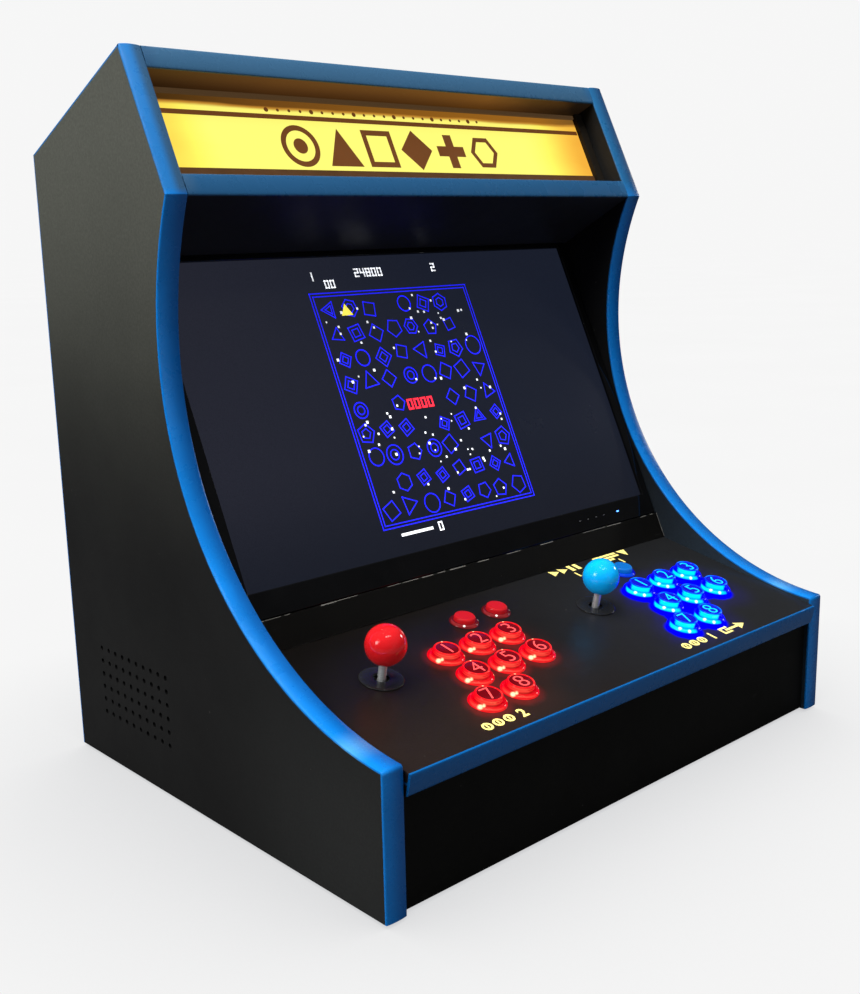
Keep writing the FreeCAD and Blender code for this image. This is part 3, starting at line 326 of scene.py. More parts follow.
def ball_plastic(name, base, glow, power, toward, painted_colour, start, end):
    """Glossy ball with a painted glow; the side facing `toward` gets the tint as painted shade, a
    darker crescent of deeper colour, from start to end of the cosine between its normal and that
    direction."""
    g = plastic(name, base, rough=0.12, coat=0.8, grain=0.0, vary=0.05,
                glow=glow, glow_power=1.0)
    g.set({"Subsurface Weight": 0.12, "Subsurface Radius": (0.004, 0.002, 0.002),
           "Subsurface Scale": 1.0})
    facing = g.vector("DOT_PRODUCT", g.geometry("Normal"), Vector(toward).normalized())
    wobble = (g.noise(g.coord(), scale=190.0, detail=2) - 0.5) * 0.10
    side = (facing + wobble).span(start, end)
    g.set({"Emission Color": g.mix(side, scaled(glow, power), painted_colour),
           "Base Color": g.mix(side, g.linked("Base Color"), scaled(painted_colour, 0.3))})


def metal(name, base, rough, brushed, stretch=(1, 30, 30), metallic=1.0):
    g = principled_graph(name)
    streak = g.noise(g.mapping(g.coord(), scale=stretch), scale=90.0, rough=0.6)
    g.set({"Base Color": g.mix(streak.span(0.3, 0.7), scaled(base, 0.8), scaled(base, 1.12)),
           "Metallic": metallic,
           "Roughness": streak.span(0.25, 0.75, to=(rough * 0.7, rough * 1.5)),
           "Normal": g.bump(streak, brushed, 0.0001)})


def light_plastic(name, colour, power, vary=0.08, scale=30.0, base=None):
    """Evenly glowing surface."""
    g = principled_graph(name)
    v = g.coord()
    cloud = g.noise(v, scale, detail=3, rough=0.5).span(0.3, 0.7)
    glow = g.mix(cloud, scaled(colour, 1 - vary), scaled(colour, 1 + vary))
    g.set({"Emission Color": glow,
           "Emission Strength": power,
           "Base Color": g.mix(0.5, glow, base or colour),
           "Roughness": g.noise(v, scale=200, detail=2).span(0.3, 0.7, to=(0.3, 0.45))})


def spot_mask(g, v, spots):
    """Discs at (x, y, z, radius) in mm."""
    mask = None
    for x, y, z, radius in spots:
        distance = g.vector("DISTANCE", v, (x * MM, y * MM, z * MM))
        spot = distance.span(radius * MM, radius * 0.45 * MM)
        mask = spot if mask is None else mask.maximum(spot)
    return mask


def lit_plastic(name, deep, full, band, hot, spots, cap, shown, thrown, facing=(0.35, 0.75),
                rim=0.6, streak=0.5, shaded_crease_level=0.45, lines=0.0):
    """Clear coloured plastic lit from inside, for a button `cap` mm high. Walls that face the
    eye show a pale streaky band, the turned-away parts stay deep, and small hot spots shine.
    shown and thrown are the glow for the camera and for other surfaces, facing is the range of
    cosines over which the band comes in, rim is the top ring's strength, streak and lines are the
    depth of the ripples and turned rings, shaded_crease_level the glow left in the crease, where
    the glow is cut back as painted shade."""
    g = principled_graph(name)
    v = g.coord()
    z = g.axes(v)[2]
    surface = g.node("NewGeometry")
    flat_normal, flat_view = [
        g.vector("MULTIPLY", Field(g, surface.outputs[output]), (1.0, 1.0, 0.0))
        for output in ("Normal", "Incoming")]
    cosine = g.vector("DOT_PRODUCT", g.vector("NORMALIZE", flat_normal),
                      g.vector("NORMALIZE", flat_view))
    upright = g.vector("LENGTH", flat_normal).span(0.22, 0.42)
    wobble = (g.noise(v, scale=260.0, detail=2, rough=0.5) - 0.5) * 0.22
    face = (cosine + wobble).span(*facing) * upright
    ripple = g.noise(g.mapping(v, scale=(0.30, 0.30, 3.6)), scale=230.0, detail=2, rough=0.5,
                     warp=0.6)
    face = (face * ripple.span(0.36, 0.56, to=(1.0 - streak, 1.0))).clamped()
    face = (face * z.span((cap - 0.5) * MM, (cap - 1.2) * MM)).clamped()
    face = (face * z.span(0.0003, 0.0011)).clamped()
    # Painted shade: the glow is cut back in the crease between flange and plunger.
    crease_shade = abs(z - 0.0036).span(0.0001, 0.0008, to=(shaded_crease_level, 1.0))
    mottle = g.noise(v, scale=300.0, detail=3).span(0.3, 0.7, to=(0.55, 1.0))
    colour = g.mix(mottle, deep, full)
    colour = g.mix(face, colour, band)
    ring = z.span((cap - 0.9) * MM, (cap - 0.15) * MM)
    glint = g.noise(v, scale=95.0, detail=1, rough=0.5).span(0.42, 0.62, to=(0.15, 1.0))
    colour = g.mix(ring * glint * rim, colour, band)
    hots = spot_mask(g, v, spots)
    colour = g.mix(hots, colour, hot)
    turned_rings = (z * 3900.0).sine().span(-1.0, 0.2, to=(1.0 - lines, 1.0))
    level = crease_shade * shown * turned_rings + hots * 0.8
    gloss = g.noise(v, scale=80.0, detail=3)
    g.set({"Base Color": g.mix(0.5, scaled(full, 0.30), scaled(deep, 0.45)),
           "Emission Color": g.mix(g.camera_only(shown=1.0, other=0.0), full, colour),
           "Emission Strength": g.camera_only(shown=level, other=thrown),
           "Roughness": gloss.span(0.3, 0.7, to=(0.112, 0.182)),
           "Specular IOR Level": 0.35,
           "Coat Weight": 0.15,
           "Coat Roughness": 0.04,
           "Normal": g.bump(ripple, strength=0.05)})


# ------------------------------------------------------------------ single materials
def panel_painted_reflections(g, v):
    """Painted reflection on the side panels: the outside paler towards the top and a little at
    the front foot, and the inside tinted bluish low at the front."""
    x, y, z = g.axes(v)
    height = z + (g.noise(v, scale=6.0) - 0.5) * 0.09
    outside = abs(x).soft(0.290, 0.2945)
    top = height.soft(0.20, 0.60) * outside
    front = y.soft(0.02, -0.20) * height.soft(0.24, 0.05) * outside
    inside = y.soft(0.10, -0.20) * z.soft(0.33, 0.13) * (1.0 - outside)
    return [(top, (0.070, 0.073, 0.063)), (front * 0.75, (0.021, 0.022, 0.022)),
            (inside * 0.8, (0.021, 0.034, 0.048))]


def moulding_material():
    """Blue T-moulding with painted light and shade: a greyed painted sheen on the head bars,
    painted shade on the deck bar and at the head's right end, a painted glare near the front, and
    painted shading across its width, lighter on its left edge and greyer on the left at the head.
    """
    g = principled_graph("blue_t_moulding")
    v = g.coord()
    x, y, z = g.axes(g.geometry("Position"))
    cloud = g.noise(v, scale=22.0, warp=0.3)
    colour = g.mix(cloud.span(0.3, 0.7), (0.0022, 0.120, 0.430), (0.0030, 0.142, 0.500))
    bars = abs(x).soft(0.2756, 0.2746)
    # Painted sheen: the head bars are greyer, darkest on the soffit bar and palest on the top
    # bar.
    head_bar_painted_sheen = g.mix(z.soft(0.53, 0.61), (0.010, 0.054, 0.128), (0.024, 0.073, 0.140))
    colour = g.mix(bars * z.soft(0.400, 0.480), colour, head_bar_painted_sheen)
    # Painted shade: the deck bar is painted darker.
    colour = g.mix(bars * z.soft(0.480, 0.400), colour, (0.0015, 0.080, 0.270))
    glare_y = -0.190    # middle of a painted glare near the front
    painted_glare = abs(y - glare_y).soft(0.022, 0.0)
    # Painted glare: a pale patch on the side mouldings near the front.
    colour = g.mix(painted_glare * (1.0 - bars) * 0.45, colour, (0.10, 0.30, 0.55))
    # Painted shade: the right moulding at the head is painted darker and greyer.
    right_head = x.soft(0.26, 0.275) * z.soft(0.505, 0.545)
    colour = g.mix(right_head * 0.9, colour, (0.012, 0.070, 0.165))
    # Painted shading across the moulding's width: lighter on its left edge, where the key light
    # falls, and darker to the right. The bars are left out.
    across = x - x.sign() * 0.285
    shade = g.mix(across.soft(-0.0096, 0.0085), (1.0, 1.12, 1.04), (0.8, 0.55, 0.58))
    shade = g.mix(bars, shade, (1.0, 1.0, 1.0))
    colour = g.mix(1.0, colour, shade, "MULTIPLY")
    # Painted shade on the left moulding at the head: a greyer blue, lighter on its left edge and
    # darker to the right.
    left_head = x.soft(-0.26, -0.275) * z.soft(0.523, 0.531)
    left_tone = g.mix(across.soft(-0.004, 0.006), (0.0120, 0.116, 0.330), (0.0210, 0.062, 0.125))
    colour = g.mix(left_head, colour, left_tone)
    patches = g.noise(v, scale=90.0, detail=3).span(0.38, 0.65)
    rubbed = (g.edge_mask(radius=0.0006, start=0.02, end=0.2) * patches).clamped()
    colour = g.mix(rubbed * 0.14, colour, (0.03, 0.30, 0.66))
    gloss = g.noise(v, scale=55.0, detail=5, rough=0.6)
    g.set({"Base Color": colour,
           "Roughness": gloss.span(0.3, 0.7, to=(0.22, 0.34)),
           "Specular IOR Level": 0.4,
           "Coat Weight": 0.12,
           "Coat Roughness": 0.08,
           "Normal": g.bump(g.noise(v, scale=700.0, detail=2, rough=0.5), 0.05, 0.0001)})


def fibreboard_material():
    g = principled_graph("raw_fibreboard")
    fibres = g.noise(g.mapping(g.coord(), scale=(1, 5, 9)), scale=120.0, detail=6, rough=0.7)
    g.set({"Base Color": g.ramp(fibres, [(0.3, (0.26, 0.17, 0.095)), (0.5, (0.40, 0.28, 0.17)),
                                         (0.72, (0.52, 0.39, 0.25))]),
           "Roughness": 0.78,
           "Normal": g.bump(fibres, strength=0.35, distance=0.0005)})


def halo(g, v, points, near, far):
    """Sum of soft discs round the points, at most 1; full within near, gone by far."""
    total = None
    for point in points:
        disc = g.vector("DISTANCE", v, tuple(point)).soft(far, near)
        disc = disc * disc
        total = disc if total is None else total + disc
    return total.minimum(1.0)


def deck_painted_light(g, v):
    # Painted light on the deck: a lighter painted sheen over the right half, painted shade at the
    # back left, and a warm painted reflection of the red buttons at the front left.
    x, y, z = g.axes(v)
    left_front = x.soft(0.02, -0.16) * y.soft(-0.12, -0.215)
    back_left = x.soft(0.0, -0.22) * y.soft(-0.15, -0.06)
    return [(x.soft(-0.10, 0.10), (0.0092, 0.0095, 0.0102)),
            (back_left * 0.7, (0.0036, 0.0030, 0.0026)),
            (left_front * 0.7, (0.0150, 0.0098, 0.0076))]


def deck_material():
    """Deck laminate with the large buttons' light falling on it."""
    g = laminate("deck_laminate", base=(0.0062, 0.0052, 0.0048), rough=0.33, spec=0.30,
                 painted_light_pairs=deck_painted_light)
    v = g.coord()
    wavy = g.vector("ADD", v, g.noise(v, scale=90.0, detail=3) * 0.004)

    def places(colour, x=0.0, y=0.0):
        return [PLACES[button] + Vector((x, y, 0)) for button in BUTTONS
                if button.startswith(colour) and not is_small(button)]

    blue_lit = places("blue")
    near_blue = halo(g, wavy, places("blue", -0.0056, -0.0034), near=0.0168, far=0.0220)
    pair_reach = 0.050    # neighbours closer than this light the gap between them
    gaps = [(p + q) / 2 + Vector((-0.001, -0.001, 0))
            for k, p in enumerate(blue_lit) for q in blue_lit[k + 1:]
            if (p - q).length < pair_reach]
    near_blue = near_blue.maximum(halo(g, wavy, gaps, near=0.0110, far=0.0160))
    far_blue = halo(g, v, places("blue", -0.004, -0.007), near=0.018, far=0.052)
    near_red = halo(g, wavy, places("red"), near=0.0160, far=0.0265)
    far_red = halo(g, v, places("red", -0.002, -0.006), near=0.020, far=0.055)
    glow = g.mix(near_blue, (0, 0, 0), (0.0, 0.0, 0.98))
    for mask, colour in ((far_blue, (0.001, 0.0, 0.040)), (near_red, (0.105, 0.002, 0.003)),
                         (far_red, (0.012, 0.002, 0.001))):
        glow = g.mix(1.0, glow, g.mix(mask, (0, 0, 0), colour), "ADD")
    g.set({"Emission Color": glow,
           "Emission Strength": 1.0,
           "Base Color": g.mix(near_blue, g.linked("Base Color"), (0.0, 0.0, 0.01)),
           "Specular IOR Level": near_blue.span(0.0, 1.0, to=(0.30, 0.0))})


def head_board_material():
    """Top board: black outside, its underside at the front warmed by the lit sheet."""
    g = laminate("head_board_laminate")
    v = g.coord()
    downward = (0.0, -0.416, -0.909)    # out of the board's underside
    under = g.vector("DOT_PRODUCT", g.geometry("Normal"), downward).span(0.90, 0.98)
    x, y, z = g.axes(v)
    blotch = g.noise(g.mapping(v, scale=(1, 2.5, 2.5)), scale=11.0, detail=3, rough=0.5)
    glow = g.ramp(x.span(-0.275, 0.275) + (blotch - 0.5) * 0.12, [
        (0.0, (0.045, 0.018, 0.004)), (0.25, (0.105, 0.039, 0.008)),
        (0.50, (0.118, 0.043, 0.008)), (0.72, (0.165, 0.060, 0.009)),
        (0.84, (0.060, 0.022, 0.005)), (0.96, (0.010, 0.005, 0.002))])
    glow = g.mix(y.soft(0.064, 0.090), glow, g.mix(0.60, glow, (0.0, 0.0, 0.0)))
    g.set({"Emission Color": glow, "Emission Strength": under})


def screen_material():
    g = principled_graph("lcd_face")
    v = g.coord()
    x, y, z = g.axes(v)
    cloud = g.noise(v, scale=4.0, detail=3, rough=0.5, warp=0.4)
    glow = g.mix(x.soft(0.10, -0.26), (0.0108, 0.0140, 0.0265), (0.0200, 0.0212, 0.0325))
    glow = g.mix(z.soft(0.30, 0.19), glow, (0.0100, 0.0120, 0.0200))
    glow = g.mix(cloud.span(0.35, 0.7, to=(0, 0.35)), glow, (0.0125, 0.0150, 0.0270))
    grain = g.noise(v, scale=900.0, detail=2, rough=0.6).span(0.3, 0.7)
    grain = g.mix(grain, (0.88, 0.88, 0.88), (1.12, 1.12, 1.12))
    g.set({"Emission Color": g.mix(1.0, glow, grain, "MULTIPLY"),
           "Emission Strength": 0.92,
           "Base Color": (0.0012, 0.0012, 0.0016),
           "Roughness": g.noise(v, scale=9.0, detail=5).span(0.3, 0.7, to=(0.20, 0.28)),
           "Specular IOR Level": 0.25,
           "Normal": g.bump(g.noise(v, scale=2400.0, detail=1), 0.02, 0.00005)})


def marquee_material():
    """Lit yellow sheet, more orange towards its ends, with a painted shadow of the top strip
    along its top.
    """
    g = principled_graph("marquee_lit_yellow")
    v = g.coord()
    x, y, z = g.axes(v)
    cloud = g.noise(g.mapping(v, scale=(1, 3, 1)), scale=9.0, rough=0.5, warp=0.3)
    ends = x.soft(0.165, 0.268).maximum(x.soft(-0.205, -0.262) * 0.6)
    ends = (ends + (cloud - 0.5) * 0.25).clamped()
    glow = g.ramp(ends, [(0.0, (1.0, 0.97, 0.195)), (0.35, (1.0, 0.93, 0.125)),
                         (0.75, (0.98, 0.60, 0.070)), (1.0, (0.88, 0.42, 0.045))])
    height = y + (cloud - 0.5) * 0.006
    glow = g.mix(height.soft(0.078, 0.090), glow, g.mix(0.15, glow, (0.97, 0.62, 0.08)))
    # Painted shadow under the top strip: the sheet turns dark amber, then brown at the very top.
    glow = g.mix(height.soft(0.0955, 0.0990), glow, (0.52, 0.23, 0.028))
    top_painted_shadow = g.ramp(x.span(-0.26, 0.26), [
        (0.0, (0.050, 0.020, 0.004)), (0.22, (0.150, 0.056, 0.008)),
        (0.6, (0.25, 0.094, 0.009)), (0.9, (0.33, 0.125, 0.012)), (1.0, (0.20, 0.09, 0.015))])
    glow = g.mix(height.soft(0.0985, 0.1010), glow, top_painted_shadow)
    g.set({"Emission Color": glow,
           "Emission Strength": g.camera_only(shown=1.0, other=0.8),
           "Base Color": (0.05, 0.03, 0.004),
           "Roughness": g.noise(v, scale=70, detail=2).span(0.3, 0.7, to=(0.16, 0.22)),
           "Specular IOR Level": 0.3,
           "Normal": g.bump(g.noise(v, scale=600.0, detail=2), 0.02, 0.0001)})


def floor_material():
    """Pale floor: the camera sees an even tone with a soft contact shade, the object sees
    a dim floor."""
    g = material_graph("studio_floor")
    v = g.coord()
    openness = g.field("AmbientOcclusion", {"Distance": 0.30}, output="AO", samples=12) ** 1.3
    tone = g.mix(g.noise(v, scale=1.5, detail=3).span(0.3, 0.7),
                 (0.918, 0.918, 0.918), (0.930, 0.930, 0.930))
    seen = g.field("Emission", {"Color": g.mix(openness, (0.60, 0.605, 0.62), tone)})
    dim = g.field("BsdfDiffuse", {"Color": (0.05, 0.05, 0.05)})
    ray = g.field("LightPath", output="Is Camera Ray")
    g.finish(g.field("MixShader", {0: ray, 1: dim, 2: seen}))


def make_board_materials():
    # The side panels carry painted reflections laid over the laminate.
    laminate("black_laminate", painted_light_pairs=panel_painted_reflections)
    # The front panel's and the sill's laminates are darker copies of the black laminate, as
    # painted shade.
    laminate("front_panel_shaded_laminate", base=(0.0042, 0.0042, 0.0040), rough=0.50, spec=0.10)
    laminate("sill_shaded_laminate", base=(0.0034, 0.0033, 0.0030), rough=0.45, spec=0.08)
    # The soffit's laminate is paler and bluish: a painted reflection.
    laminate("soffit_reflection_laminate", base=(0.0120, 0.0130, 0.0165), rough=0.40, spec=0.14)
    moulding_material()
    fibreboard_material()
    deck_material()
    head_board_material()
    floor_material()


def make_plain_materials():
    plastic("bezel_gloss", (0.0022, 0.0022, 0.0024), rough=0.07, spec=0.30, coat=0.10,
            grain=0.0, vary=0.2)
    plastic("black_strip", (0.010, 0.008, 0.006), rough=0.42, spec=0.2)
    plastic("shell_black", (0.018, 0.018, 0.019), rough=0.55, grain=0.3)
    plastic("washer_black", (0.0110, 0.0112, 0.0118), rough=0.22, coat=0.2, spec=0.40)
    plastic("foot_rubber", (0.014, 0.014, 0.014), rough=0.8, grain=0.5)
    plastic("switch_black", (0.02, 0.02, 0.02), rough=0.5, grain=0.2)
    plastic("speaker_black", (0.015, 0.015, 0.016), rough=0.6, grain=0.4)
    plastic("circuit_green", (0.010, 0.09, 0.030), rough=0.35, grain=0.3, vary=0.3)
    plastic("cable_black", (0.012, 0.012, 0.013), rough=0.55, grain=0.1)
    plastic("chipped_edge", (0.16, 0.155, 0.14), rough=0.7)
    plastic("touch_mark_grey", (0.10, 0.10, 0.11), rough=0.4)
    # The retainer strips are black plastic. Their glow is painted light from the lit sheet, warm
    # on the high strip and brown on the low one.
    plastic("strip_warm_painted_light", (0.03, 0.016, 0.007), rough=0.5, spec=0.3,
            glow=(0.062, 0.034, 0.014), glow_power=1.0)
    plastic("strip_brown_painted_light", (0.02, 0.009, 0.004), rough=0.5, spec=0.3, vary=0.5,
            glow=(0.080, 0.036, 0.012), glow_power=0.8)
    plastic("marquee_brown_ink", (0.03, 0.012, 0.004), rough=0.35,
            glow=(0.155, 0.050, 0.010), glow_power=0.8)
    metal("shaft_steel", (0.86, 0.89, 0.93), rough=0.34, brushed=0.03, stretch=(1, 1, 20),
          metallic=0.78)
    metal("zinc_steel", (0.55, 0.55, 0.56), rough=0.32, brushed=0.15)
    metal("psu_grey", (0.32, 0.33, 0.34), rough=0.45, brushed=0.2)


def make_control_materials():
    """Joystick balls and the parts of the buttons."""
    # The balls are no lamps: their glow is painted light, and each gets a painted shaded crescent
    # on the side turned from the light.
    ball_plastic("ball_red", (0.50, 0.008, 0.011), glow=(0.9, 0.01, 0.015), power=0.08,
                 toward=(0.90, -0.38, -0.35), painted_colour=(0.42, 0.002, 0.006), start=0.62, end=0.90)
    ball_plastic("ball_blue", (0.002, 0.34, 0.78), glow=(0.0, 0.36, 0.9), power=0.10,
                 toward=(0.93, -0.34, -0.25), painted_colour=(0.0, 0.010, 0.42), start=0.55, end=0.70)
    plastic("cap_red_dark", (0.050, 0.001, 0.002), rough=0.16, coat=0.2, vary=0.3,
            glow=(0.125, 0.001, 0.004), glow_power=1.0)
    plastic("cap_blue_dark", (0.0, 0.002, 0.16), rough=0.16, coat=0.2, vary=0.3,
            glow=(0.0, 0.0, 0.48), glow_power=1.0)
    plastic("cap_red_plain", (0.27, 0.005, 0.008), rough=0.40, coat=0.1, vary=0.16,
            glow=(0.60, 0.008, 0.012), glow_power=0.30)
    # The small blue caps' glow is painted light from the lit blue buttons beside them.
    plastic("cap_blue_plain", (0.002, 0.075, 0.26), rough=0.36, coat=0.1, vary=0.16,
            glow=(0.0, 0.11, 0.46), glow_power=0.5)
    lit_plastic("red_lit_plastic", deep=(0.52, 0.0, 0.003), full=(0.92, 0.0, 0.012),
                band=(1.0, 0.090, 0.055), hot=(1.0, 0.90, 0.50),
                spots=((-13.2, -5.0, 2.2, 3.1), (-11.2, -6.4, 3.2, 2.2),
                       (3.3, 10.9, 8.6, 1.4), (12.6, -8.7, 1.3, 1.3)),
                cap=CAP_LARGE, shown=0.95, thrown=0.45, facing=(0.40, 0.95), streak=0.90,
                shaded_crease_level=0.28, lines=0.38)
    lit_plastic("blue_lit_plastic", deep=(0.0, 0.0, 0.90), full=(0.0, 0.0, 1.0),
                band=(0.0, 1.0, 1.0), hot=(0.95, 1.0, 1.0),
                spots=((-13.2, -4.8, 2.1, 2.3), (-8.6, -12.2, 1.6, 2.1),
                       (13.2, -7.6, 1.2, 1.3), (11.5, -1.2, 6.0, 1.1)),
                cap=CAP_LARGE, shown=1.0, thrown=1.3, facing=(0.60, 0.74), streak=0.22,
                rim=0.30, shaded_crease_level=0.62)
    # The hot spots on the small buttons' clear parts are painted highlights, and the blue one's
    # glow is painted light from the lit blue buttons beside it.
    lit_plastic("red_dim_plastic", deep=(0.050, 0.002, 0.004), full=(0.10, 0.004, 0.007),
                band=(0.36, 0.030, 0.030), hot=(1.0, 0.92, 0.86),
                spots=((-8.6, -8.9, 2.4, 1.5), (11.6, -6.2, 1.6, 1.1)),
                cap=CAP_SMALL, shown=0.8, thrown=0.3, streak=0.8)
    lit_plastic("blue_dim_plastic", deep=(0.0, 0.0, 0.22), full=(0.0, 0.0, 0.55),
                band=(0.0, 0.10, 0.80), hot=(0.5, 0.8, 1.0),
                spots=((11.6, -6.2, 1.6, 0.9),), cap=CAP_SMALL, shown=0.8, thrown=0.4)


def make_light_materials():
    light_plastic("lamp_white", (1.0, 0.90, 0.72), power=2.5)
    light_plastic("numeral_red", (0.86, 0.075, 0.075), power=0.95, base=(0.3, 0.01, 0.01))
    light_plastic("numeral_blue", (0.0, 0.50, 1.0), power=0.95, base=(0.0, 0.05, 0.3))
    # The deck labels are print, not lamps: their glow is painted light.
    light_plastic("label_yellow_painted_glow", (0.82, 0.68, 0.20), power=0.52, base=(0.52, 0.43, 0.13))
    light_plastic("pixel_blue", (0.012, 0.014, 0.86), power=1.0, vary=0.12, scale=60)
    light_plastic("pixel_white", (0.82, 0.84, 0.88), power=0.85)
    light_plastic("pixel_red", (0.95, 0.03, 0.06), power=0.9)
    light_plastic("pixel_yellow", (0.95, 0.80, 0.10), power=0.9)
    light_plastic("power_light_blue", (0.05, 0.18, 1.0), power=6.0)
    screen_material()
    marquee_material()


make_board_materials()
make_plain_materials()
make_control_materials()
make_light_materials()


# ------------------------------------------------------------------ mesh helpers
def add_object(name, mesh, material, body, matrix):
    piece = bpy.data.objects.new(name, mesh)
    bpy.context.scene.collection.objects.link(piece)
    piece.matrix_world = matrix
    mesh.materials.clear()
    mesh.materials.append(MATERIALS[material])
    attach(piece, body)
    return piece


def build(name, shape, material, body="cabinet", matrix=Matrix(), angle=None, replaces=None,
          slot=None):
    """Object from (verts in mm, faces). It is flat shaded, or smooth with edges sharper
    than angle degrees kept crisp."""
    verts, faces = shape
    mesh = bpy.data.meshes.new(name)
    mesh.from_pydata([tuple(c * MM for c in vert) for vert in verts], [], faces)
    smooth = angle is not None
    bm = bmesh.new()
    bm.from_mesh(mesh)
    bmesh.ops.remove_doubles(bm, verts=bm.verts, dist=1e-7)
    bmesh.ops.recalc_face_normals(bm, faces=bm.faces)
    for face in bm.faces:
        face.smooth = smooth
    for edge in bm.edges:
        edge.smooth = not (smooth and len(edge.link_faces) == 2
                           and edge.calc_face_angle(0.0) > math.radians(angle))
    bm.to_mesh(mesh)
    bm.free()
    piece = add_object(name, mesh, material, body, matrix)
    if replaces:
        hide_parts(replaces)


def turned(profile, segments):
    """Closed solid of revolution about local Z; the profile is (radius, height)."""
    verts, faces, rings = [], [], []
    for radius, z in profile:
        count = 1 if radius < 1e-6 else segments
        rings.append(range(len(verts), len(verts) + count))
        if count == 1:
            verts.append((0, 0, z))
            continue
        for i in range(segments):
            a = 2 * math.pi * i / segments
            verts.append((radius * math.cos(a), radius * math.sin(a), z))
    for k, a in enumerate(rings):
        b = rings[(k + 1) % len(rings)]
        if len(a) == 1 and len(b) == 1:
            continue
        for i in range(segments):
            j = (i + 1) % segments
            if len(a) == 1:
                faces.append((a[0], b[i], b[j]))
            elif len(b) == 1:
                faces.append((a[i], b[0], a[j]))
            else:
                faces.append((a[i], b[i], b[j], a[j]))
    return verts, faces


def skin(rings, wrap=False):
    """Skin over equal closed rings of points. The last ring meets the first if it wraps,
    otherwise both ends are capped."""
    verts = [point for ring in rings for point in ring]
    count, n = len(rings), len(rings[0])
    faces = []
    for a in range(count if wrap else count - 1):
        b = (a + 1) % count
        for i in range(n):
            j = (i + 1) % n
            faces.append((a * n + i, a * n + j, b * n + j, b * n + i))
    if not wrap:
        faces.append(tuple(range(n)))
        faces.append(tuple(reversed(range((count - 1) * n, count * n))))
    return verts, faces


def prisms(outlines, low, high):
    """Flat outlines of (x, y), each extruded from low to high in z."""
    verts, faces = [], []
    for outline in outlines:
        first, n = len(verts), len(outline)
        verts += [(x, y, z) for z in (low, high) for x, y in outline]
        triangles = tessellate_polygon([[Vector((x, y, 0)) for x, y in outline]])
        own = [tuple(reversed(t)) for t in triangles]
        own += [tuple(i + n for i in t) for t in triangles]
        for i in range(n):
            j = (i + 1) % n
            own.append((i, j, j + n, i + n))
        faces += [tuple(i + first for i in face) for face in own]
    return verts, faces


def plates(name, outlines, low, high, material, matrix, **options):
    build(name, prisms(outlines, low, high), material, matrix=matrix, **options)


# ------------------------------------------------------------------ flat outlines
def corner_curve(start, corner, end, steps):
    """Quadratic curve from start to end, pulled towards the corner."""
    points = []
    for k in range(steps + 1):
        t = k / steps
        points.append(tuple(start * (1 - t) ** 2 + corner * 2 * t * (1 - t) + end * t * t))
    return points


def rect(x0, y0, x1, y1):
    return [(x0, y0), (x1, y0), (x1, y1), (x0, y1)]


def rounded(corners, radius, steps=3):
    """Rectangle with its corners rounded."""
    points = []
    for i, corner in enumerate(corners):
        corner = Vector(corner)
        back = (Vector(corners[i - 1]) - corner).normalized()
        ahead = (Vector(corners[(i + 1) % 4]) - corner).normalized()
        points += corner_curve(corner + back * radius, corner, corner + ahead * radius, steps)
    return points


def polygon(x, y, radius, sides, turn=0.0):
    angles = [turn + 2 * math.pi * k / sides for k in range(sides)]
    return [(x + radius * math.cos(a), y + radius * math.sin(a)) for a in angles]


def ring_quads(x, y, outer_radius, inner_radius, sides=28):
    """Flat ring as one quad per side."""
    outer, inner = polygon(x, y, outer_radius, sides), polygon(x, y, inner_radius, sides)
    quads = []
    for i in range(sides):
        j = (i + 1) % sides
        quads.append([outer[i], outer[j], inner[j], inner[i]])
    return quads


def stroke(p, q, width):
    """Straight stroke from p to q with square ends past both points."""
    along = Vector((q[0] - p[0], q[1] - p[1]))
    along.normalize()
    side = Vector((-along.y, along.x)) * (width / 2)
    end = along * (width / 2)
    return [(p[0] - end.x + side.x, p[1] - end.y + side.y),
            (p[0] - end.x - side.x, p[1] - end.y - side.y),
            (q[0] + end.x - side.x, q[1] + end.y - side.y),
            (q[0] + end.x + side.x, q[1] + end.y + side.y)]


def line_round(corners, width):
    """Closed line of even width through the corners, as strokes."""
    n = len(corners)
    return [stroke(corners[k], corners[(k + 1) % n], width) for k in range(n)]


SEGMENTS = {"0": "abcdef", "1": "bc", "2": "abged", "3": "abgcd", "4": "fgbc",
            "5": "afgcd", "6": "afgedc", "7": "abc", "8": "abcdefg", "9": "abcdfg"}
# Ends of each of the seven segments, as fractions of (width, height).
SEGMENT_ENDS = {"a": ((0, 1), (1, 1)), "b": ((1, 1), (1, 0.5)), "c": ((1, 0.5), (1, 0)),
                "d": ((0, 0), (1, 0)), "e": ((0, 0.5), (0, 0)), "f": ((0, 1), (0, 0.5)),
                "g": ((0, 0.5), (1, 0.5))}


def seven_segment(text, x, y, height, weight=0.2):
    """Digits of straight strokes; weight is the stroke's share of the height."""
    strokes = []
    width = height * 0.56
    for digit in text:
        for segment in SEGMENTS[digit]:
            ends = [(x + across * width, y + up * height)
                    for across, up in SEGMENT_ENDS[segment]]
            strokes.append(stroke(*ends, height * weight))
        x += width + height * 0.42
    return strokes


